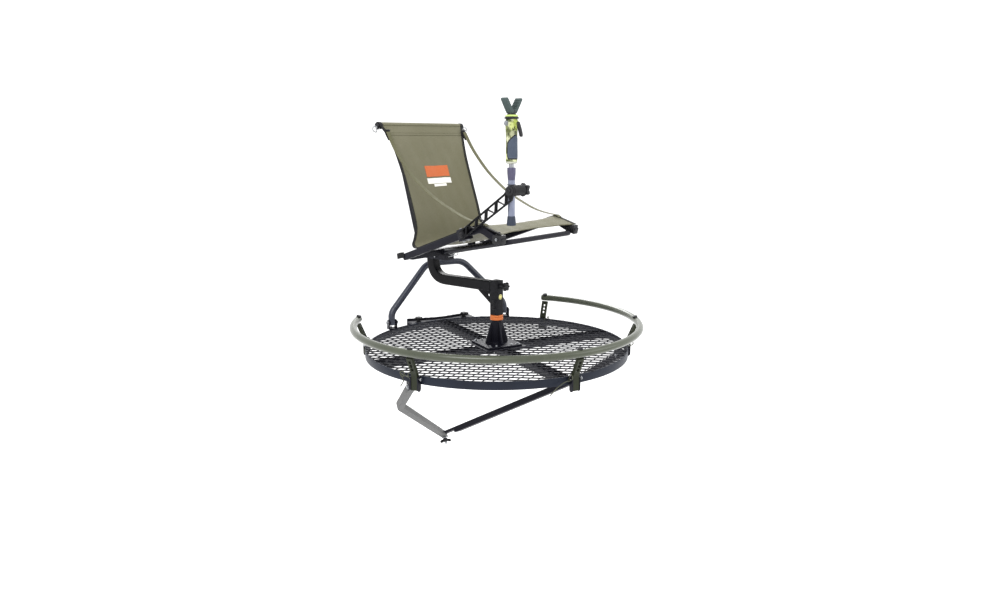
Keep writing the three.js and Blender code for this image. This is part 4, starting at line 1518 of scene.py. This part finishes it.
straps = {
    "route": [
        (-352, 812), (-310, 745), (-246, 672), (-187, 622), (-117, 575), (-45, 540), (20, 514), (75, 501),
        (128, 495),
    ],
    "side": 217, "width": 20, "thickness": 1.8,
}


def ribbon(points, widthWay, width, thickness):
    # a flat strap along a line, its width lying along widthWay
    points = [Vector(point) for point in points]
    verts, faces, uv = [], [], []
    travelled = 0.0
    for index, point in enumerate(points):
        after = points[min(index + 1, len(points) - 1)]
        before = points[max(index - 1, 0)]
        way = (after - before).normalized()
        wide = Vector(widthWay[index] if isinstance(widthWay, list) else widthWay)
        wide = (wide - way * wide.dot(way)).normalized()
        thick = way.cross(wide).normalized()
        if index:
            travelled += (point - points[index - 1]).length
        for x, y in (
            (-1, -1), (-0.5, -1), (0, -1), (0.5, -1), (1, -1), (1, 1), (0.5, 1), (0, 1), (-0.5, 1), (-1, 1)
        ):
            edge = 0.55 if abs(x) == 1 else 1.0
            verts.append(point + wide * x * width / 2 + thick * y * thickness / 2 * edge)
            uv.append((x * width / 2 * mm, travelled * mm))
    around = 10
    for ring in range(len(points) - 1):
        for side in range(around):
            after = (side + 1) % around
            a, b = ring * around, (ring + 1) * around
            faces.append((a + side, a + after, b + after, b + side))
    faces.append(tuple(range(around - 1, -1, -1)))
    faces.append(tuple(range((len(points) - 1) * around, len(points) * around)))
    return (verts, faces), uv, travelled


def makeStraps(options):
    for name, side in (("right", -1), ("left", 1)):
        route = flowing(
            [
                (x, side * (options["side"] + 3 * math.sin(i * 0.9)), z)
                for i, (x, z) in enumerate(options["route"])
            ],
            10,
        )
        shape, uv, length = ribbon(route, (0, 1, 0), options["width"], options["thickness"])
        blend = (seatPoint(128, side * options["side"], 495), seatPoint(-352, side * options["side"], 812))
        strap = makePiece(
            "sideStrap_" + name, shape, strapWeave, None, seatSpace, ["side_strap_" + name],
            50, uv, blend,
        )
        round(length * mm, 3)
        tab = [
            (-354, side * 214, 820), (-359, side * 215, 811), (-351, side * 216, 798),
            (-338, side * 217, 781),
        ]
        tabShape, tabUv, unused = ribbon(flowing(tab, 6), (0, 1, 0.1), 24, 3.0)
        makePiece(
            "strapTopTab_" + name, tabShape, blackWeave, "back", seatSpace, (), 50, tabUv
        )
        foot = [
            (112, side * 218, 493), (121, side * 218, 495.2), (132, side * 218, 492.5),
            (140, side * 218, 488),
        ]
        footShape, footUv, unused = ribbon(flowing(foot, 6), (0, 1, 0), 20, 2.2)
        makePiece(
            "strapFoot_" + name, footShape, strapWeave, "seat", seatSpace, (), 50, footUv
        )
        screw = moved(capScrew(4.4, 2.6), aim((124, side * 218, 495.6), (0.1, 0, 1)))
        makePiece("strapScrew_" + name, screw, zincSteel, "seat", seatSpace)

        bx, bz = back["bar"]
        wrap = [
            (bx + 12.6 * math.cos(a), side * 229, bz + 12.4 * math.sin(a))
            for a in [math.radians(d) for d in range(-60, 241, 25)]
        ]
        loopShape, loopUv, unused = ribbon(wrap, (0, 1, 0), 16, 2.0)
        makePiece(
            "cornerWrap_" + name, loopShape, blackWeave, "back", seatSpace, (), 50, loopUv
        )
        lug = [(bx + 4, side * 226, bz - 13), (bx + 5, side * 236, bz - 14), (bx + 5, side * 246, bz - 13)]
        lugShape, lugUv, unused = ribbon(flowing(lug, 6), (1, 0, 0.1), 16, 2.4)
        makePiece(
            "cornerLug_" + name, lugShape, blackWeave, "back", seatSpace, (), 50, lugUv
        )
        dee = [(-11, 0), (-11, 9), (-6, 20), (6, 20), (11, 9), (11, 0)]
        ring = sweep(
            soften([(bx + 5, side * (245 + y), bz - 14 + x) for x, y in dee], 6, 6, True),
            roundSection(2.0, 10), up=(1, 0, 0), closed=True,
        )
        makePiece("cornerDee_" + name, ring, zincSteel, "back", seatSpace)
        stub = [(-262, side * 236, 352), (-276, side * 240, 350), (-292, side * 242, 345)]
        stubShape, stubUv, unused = ribbon(flowing(stub, 6), (0, 0.2, 1), 22, 2.4)
        makePiece(
            "rearTab_" + name, stubShape, blackWeave, "seat", seatSpace, (), 50, stubUv
        )


makeStraps(straps)
print("straps made")


# rest arm

rest = {
    "pivot": (46, 453), "hub": (262, 616), "clamp": (36, 451.7), "rise": 34.3, "length": 264, "y": -246,
    "thickness": 10,
    "rootHalf": 15, "tipHalf": 18, "nose": 17, "bay": 27, "firstBay": 12, "rail": 4.4, "thick": 3.8,
    "thin": 1.7,
}


def drawnIn(corners, insets):
    # a triangle with each side moved in by its own distance
    middle = sum((Vector(corner) for corner in corners), Vector((0, 0))) / 3
    lines = []
    for index in range(3):
        start, end = Vector(corners[index]), Vector(corners[(index + 1) % 3])
        normal = Vector((start.y - end.y, end.x - start.x)).normalized()
        if normal.dot(middle - start) < 0:
            normal = -normal
        lines.append((normal, normal.dot(start) + insets[index]))
    made = []
    for index in range(3):
        (first, a), (second, b) = lines[index - 1], lines[index]
        spread = first.x * second.y - first.y * second.x
        made.append(((a * second.y - b * first.y) / spread, (first.x * b - second.x * a) / spread))
    return made


def makeRestArm(options):
    (pivotX, pivotZ), (hubX, hubZ) = options["pivot"], options["hub"]
    length, rise = options["length"], math.radians(options["rise"])
    place = Matrix.Translation((pivotX, options["y"], pivotZ)) @ Matrix.Rotation(-rise, 4, "Y")
    hub = place.inverted() @ Vector((hubX, options["y"], hubZ))
    thick, root, tip = options["thickness"] / 2, options["rootHalf"], options["tipHalf"]
    arc = [math.radians(angle) for angle in range(-60, 151, 14)]
    nose = [(hub.x + options["nose"] * math.cos(a), hub.z + options["nose"] * math.sin(a)) for a in arc]
    outline = [
        (-12, -root * 0.7), (-4, -root), (length - 6, -tip), (length, 4 - tip), *nose, (hub.x - 26, tip),
        (-4, root), (-12, root * 0.7),
    ]

    bay, first = options["bay"], options["firstBay"]
    count = int((length - 4 - first) / bay)
    nodes = []
    for index in range(count + 1):
        x = first + bay * index
        way = 1 if index % 2 else -1
        nodes.append((x, way * (root + (tip - root) * x / length)))
    strut = [options["thick"], options["thin"]]
    triangles = [([(nodes[0][0], -nodes[0][1]), nodes[0], nodes[1]], [2.0, strut[0], options["rail"]])]
    for index in range(count - 1):
        insets = [strut[index % 2], strut[(index + 1) % 2], options["rail"]]
        triangles.append((nodes[index:index + 3], insets))
    final = (nodes[-1][0], -nodes[-1][1])
    triangles.append(([nodes[-2], nodes[-1], final], [strut[(count - 1) % 2], 2.0, options["rail"]]))
    holes = [
        [tuple(p) for p in soften(drawnIn(corners, insets), 2.0, 2, True)] for corners, insets in triangles
    ]
    body = moved(plate(outline, -thick, thick, holes, 0.8), place @ standing())
    makePiece("restArm", body, armPaint, "rest_arm", seatSpace, ["rest_arm"])
    pivotBolt = moved(hexBolt(7, 5), aim((pivotX, options["y"] - thick, pivotZ), (0, -1, 0)))
    hubBolt = moved(hexBolt(8, 5), aim((hubX, options["y"] - thick, hubZ), (0, -1, 0)))
    hubDisc = moved(
        turned([(0, 0), (15.5, 0), (16, 1), (16, 3), (15, 4), (0, 4)], 40),
        aim((hubX, options["y"] - thick + 1, hubZ), (0, -1, 0)),
    )
    makePiece(
        "restArmBolts", merged(pivotBolt, hubBolt, hubDisc), blackPlastic, "rest_arm", seatSpace,
    )
    slope = math.radians(-19.7)
    clampPlace = Matrix.Translation(
        (options["clamp"][0], -222, options["clamp"][1])
    ) @ Matrix.Rotation(slope, 4, "Y")
    bolts = []
    for x in (-12, 12):
        bolts.append(moved(hexBolt(4.5, 3.6), clampPlace @ Matrix.Translation((x, 0, 21))))
        bolts.append(moved(hexBolt(4.5, 3.6), clampPlace @ aim((x, 0, -21), (0, 0, -1))))
    makePiece("restClampBolts", merged(*bolts), zincSteel, "seat", seatSpace)


makeRestArm(rest)


# shooting stick

stick = {
    "x": 245, "y": -218, "clampX": 260, "clampNear": -238, "clampFar": -178,
    "panel": {"low": 723, "high": 797, "turn": -10, "half": 78},
}


def wrapPanel(radiusAt, options, grow, low, high):
    # a thin pad that wraps a grip: square at the foot and pointed at the head
    verts, faces = [], []
    rows, columns = 22, 24
    for lift in (high, low):
        for r in range(rows + 1):
            share = r / rows
            z = options["low"] - grow + (options["high"] - options["low"] + 2 * grow) * share
            taper = 1.0 if share < 0.55 else max(0.04, math.cos((share - 0.55) / 0.45 * math.pi / 2)) ** 0.8
            foot = 0.86 + 0.14 * min(1.0, share / 0.12)
            half = math.radians(options["half"] + grow * 3) * taper * foot
            for c in range(columns + 1):
                angle = math.radians(options["turn"]) + half * (2 * c / columns - 1)
                radius = radiusAt(z) + lift
                verts.append(Vector((radius * math.cos(angle), radius * math.sin(angle), z)))
    wide = columns + 1
    count = (rows + 1) * wide
    for r in range(rows):
        for c in range(columns):
            a = r * wide + c
            faces.append((a, a + 1, a + wide + 1, a + wide))
            faces.append((count + a, count + a + wide, count + a + wide + 1, count + a + 1))
    loop = list(range(wide)) + [r * wide + columns for r in range(1, rows + 1)]
    loop += [
        rows * wide + c for c in range(columns - 1, -1, -1)
    ] + [r * wide for r in range(rows - 1, 0, -1)]
    for a, b in zip(loop, loop[1:] + loop[:1]):
        faces.append((a, b, count + b, count + a))
    return verts, faces


def makeStick(options):
    x, y = options["x"], options["y"]
    axis = Matrix.Translation((x, y, 0))
    hubX, hubZ = rest["hub"]
    near, far = options["clampNear"], options["clampFar"]
    ribs = [(0, 0), (15, 0), (16.6, 0.6)]
    for index in range(12):
        foot = 1 + index * 4.85
        ribs += [(16.8, foot), (18.4, foot + 0.7), (18.4, foot + 3.3), (16.8, foot + 4.0)]
    ribs += [(16.6, far - near - 0.6), (15, far - near), (0, far - near)]
    barrel = moved(turned(ribs, 48), aim((options["clampX"], near, hubZ), (0, 1, 0)))
    bore = moved(turned([(0, -30), (12.4, -30), (12.4, 30), (0, 30)], 40), Matrix.Translation((x, y, hubZ)))
    disc = moved(
        turned([(0, 0), (15, 0), (16, 0.8), (16, 3), (0, 3)], 40), aim((hubX - 3, -240.4, hubZ), (0, 1, 0))
    )
    makePiece(
        "stickClamp", merged(bored(barrel, bore), disc), blackPlastic, "stick_clamp", seatSpace,
        ["stick_clamp"],
    )
    rings = []
    for z in (hubZ - 18.5, hubZ + 18.5):
        rings.append(
            moved(
                ringTurned([(12.5, -1.4), (14.6, -1.4), (14.6, 1.4), (12.5, 1.4)], 40),
                Matrix.Translation((x, y, z)),
            )
        )
    makePiece(
        "stickClampRings", merged(*rings), blackPlastic, "stick_clamp", seatSpace
    )
    knob = moved(starKnob(24, 4, 19, 0, 5), aim((options["clampX"], far + 0.6, hubZ), (0, 1, 0)))
    makePiece(
        "stickClampKnob", knob, blackPlastic, "stick_clamp_knob", seatSpace, ["stick_clamp_knob"],
    )

    foot = [(0, 497), (13, 497), (15.6, 498.5), (16, 502), (13.6, 526), (12.6, 529), (0, 529)]
    makePiece(
        "stickFoot", moved(turned(foot, 40), axis), footRubber, "stick_lower", seatSpace,
    )
    tube = [(0, 528), (12, 528), (12, 652), (0, 652)]
    makePiece(
        "stickTube", moved(turned(tube, 40), axis), poleTube, "stick_lower", seatSpace, ["stick_tube"],
    )
    collar = [(0, 650), (12.2, 650), (14.2, 672), (14.4, 674), (14.4, 689.5), (13.6, 692), (0, 692)]
    makePiece(
        "stickCollar", moved(turned(collar, 40), axis), poleCollar, "stick_lower", seatSpace,
    )
    stub = [(0, 560), (9.2, 560), (9.2, 704.6), (0, 704.6)]
    makePiece(
        "stickInnerTube", moved(turned(stub, 32), axis), zincSteel, "stick_upper", seatSpace,
        ["stick_inner_tube"],
    )

    grip = [
        (0, 711), (18.8, 711), (19.6, 714), (19.2, 745), (18.8, 775), (19.6, 805), (20.8, 826), (20.8, 848),
        (19, 852), (0, 852),
    ]
    smooth = [tuple(p) for p in soften(grip, 6, 4)]
    makePiece(
        "stickHandle", moved(turned(smooth, 44), axis), leafPrint, "stick_upper", seatSpace,
        ["stick_handle"],
    )
    cap = [(0, 705), (15.6, 705), (17.6, 706.4), (19, 709), (19, 712.6), (0, 712.6)]
    makePiece("stickHandleCap", moved(turned(cap, 40), axis), paleRubber, "stick_upper", seatSpace)

    def gripRadius(z):
        return 18.9 + 0.7 * min(1.0, abs(z - 775) / 32)

    border = wrapPanel(gripRadius, options["panel"], 4.2, -0.6, 0.5)
    panel = wrapPanel(gripRadius, options["panel"], 0.0, -0.6, 1.1)
    makePiece(
        "stickGripBorder", moved(border, axis), blackPlastic, "stick_upper", seatSpace,
    )
    makePiece("stickGripPanel", moved(panel, axis), gripRubber, "stick_upper", seatSpace)
    neck = [(0, 851.6), (22.6, 851.6), (24, 853), (24, 856.8), (22.8, 858), (0, 858)]
    makePiece(
        "stickNeckCollar", moved(turned(neck, 44), axis), blackPlastic, "stick_upper", seatSpace,
    )
    lever = soften([(-22, 830), (-18, 838), (-20, 846), (-27, 845), (-31, 837), (-27, 829)], 2, 3, True)
    leverPlace = axis @ Matrix.Rotation(math.radians(80), 4, "Z") @ standing()
    makePiece(
        "stickLever", moved(plate(lever, -5, 5, bevel=1.4), leverPlace), greyPlastic, "stick_upper",
        seatSpace,
    )
    bracket = soften([(17, 820), (26, 820), (28, 834), (25, 845), (17, 847)], 3, 3, True)
    makePiece(
        "stickTriggerMount", moved(plate(bracket, -7, 7, bevel=1.2), axis @ standing()), leafPrint,
        "stick_upper", seatSpace,
    )
    trigger = soften(
        [
            (23, 829), (25, 843), (31, 842), (41, 815), (44.6, 800), (43, 792.6), (37, 793.6), (32, 810),
            (28, 821),
        ],
        3, 4, True,
    )
    makePiece(
        "stickTrigger", moved(plate(trigger, -5.6, 5.6, bevel=1.8), axis @ standing()), blackPlastic,
        "stick_trigger", seatSpace, ["stick_trigger"],
    )

    spin = Matrix.Rotation(math.radians(90), 4, "Z")
    lime = [(0, 858.4), (20, 858.4), (21, 859.2), (21, 863.8), (19.6, 865), (0, 865)]
    makePiece("stickYokeRing", moved(turned(lime, 44), axis), limePlastic, "stick_yoke", seatSpace)
    neckTop = [(0, 865), (15, 865), (14, 869), (13.4, 878), (0, 882)]
    makePiece(
        "stickYokeNeck", moved(turned(neckTop, 36), axis), blackPlastic, "stick_yoke", seatSpace,
    )
    halfYoke = [(12, 869), (26, 889), (43, 914), (41, 919), (35, 920), (28, 910), (14, 890)]
    outline = [*halfYoke, (0, 876), *[(-a, b) for a, b in reversed(halfYoke)]]
    prongs = moved(plate(soften(outline, 4, 4, True), -13, 13, bevel=2.0), axis @ spin @ standing())
    makePiece("stickYoke", prongs, yokeRubber, "stick_yoke", seatSpace, ["stick_yoke"])
    treads = []
    for side in (-1, 1):
        for step in range(6):
            share = 0.16 + step * 0.13
            place = Vector((side * (6 + 28 * share), 0, 881 + 39 * share))
            lean = Matrix.Rotation(side * math.radians(-54), 4, "Y")
            treads.append(
                moved(
                    bar((-0.9, -12, -0.8), (0.9, 12, 1.1), 0.5),
                    axis @ spin @ Matrix.Translation(place) @ lean,
                )
            )
    makePiece("stickYokeTreads", merged(*treads), yokeRubber, "stick_yoke", seatSpace)


makeStick(stick)
print("rest arm and stick made")


# finishes and eased edges for the frame pieces that stay

slotFinish = {
    "dark_paint": darkPaint, "rail_paint": postPaint, "grey_paint": greyPaint,
    "orange_plastic": orangePlastic,
    "zinc": zincSteel, "black_plastic": blackPlastic, "sling_fabric": slingWeave, "pole_tube": poleTube,
    "leaf_plastic": leafPrint, "yoke_rubber": yokeRubber,
}
easedEdge = {"width": 0.8, "angle": 30}


def finishFrame(options):
    for part in frame["record"]["subparts"]:
        node = frame["nodes"][part["node"]]
        finish = slotFinish.get(part["material_slot"], darkPaint)
        for index in range(len(node.material_slots)):
            node.material_slots[index].material = finish
        if not node.material_slots:
            node.data.materials.append(finish)
        if node.hide_render:
            continue
        weld = node.modifiers.new("weld", "WELD")
        weld.merge_threshold = 1e-6
        ease = node.modifiers.new("ease", "BEVEL")
        ease.width = options["width"] * mm
        ease.segments = 2
        ease.limit_method = "ANGLE"
        ease.angle_limit = math.radians(options["angle"])
        ease.harden_normals = False


finishFrame(easedEdge)
print("frame finished")


# studio


def makeStudio(options):
    low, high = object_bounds()
    size = 30
    floorZ = low.z - options["floorDrop"]
    mesh = bpy.data.meshes.new("studioFloor")
    mesh.from_pydata(
        [(-size, -size, floorZ), (size, -size, floorZ), (size, size, floorZ), (-size, size, floorZ)], [],
        [(0, 1, 2, 3)],
    )
    floor = bpy.data.objects.new("studioFloor", mesh)
    scene.collection.objects.link(floor)
    pale = Finish("paleFloor")
    mesh.materials.append(pale.feed(Base_Color=(0.99, 0.99, 0.99, 1), Roughness=0.9, Specular_IOR_Level=0.1))
    floor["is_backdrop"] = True
    world = bpy.data.worlds.new("studioWorld")
    world.use_nodes = True
    world.node_tree.nodes["Background"].inputs[0].default_value = (1, 1, 1, 1)
    world.node_tree.nodes["Background"].inputs[1].default_value = options["world"]
    scene.world = world
    centre = (low + high) / 2
    for name, place, width, watts in options["lights"]:
        data = bpy.data.lights.new(name, "AREA")
        data.size = width
        data.energy = watts
        lamp = bpy.data.objects.new(name, data)
        scene.collection.objects.link(lamp)
        lamp.location = place
        lamp.rotation_euler = (centre - Vector(place)).to_track_quat("-Z", "Y").to_euler()
    scene.view_settings.view_transform = "Standard"
    scene.view_settings.look = options["look"]


makeStudio(studio)
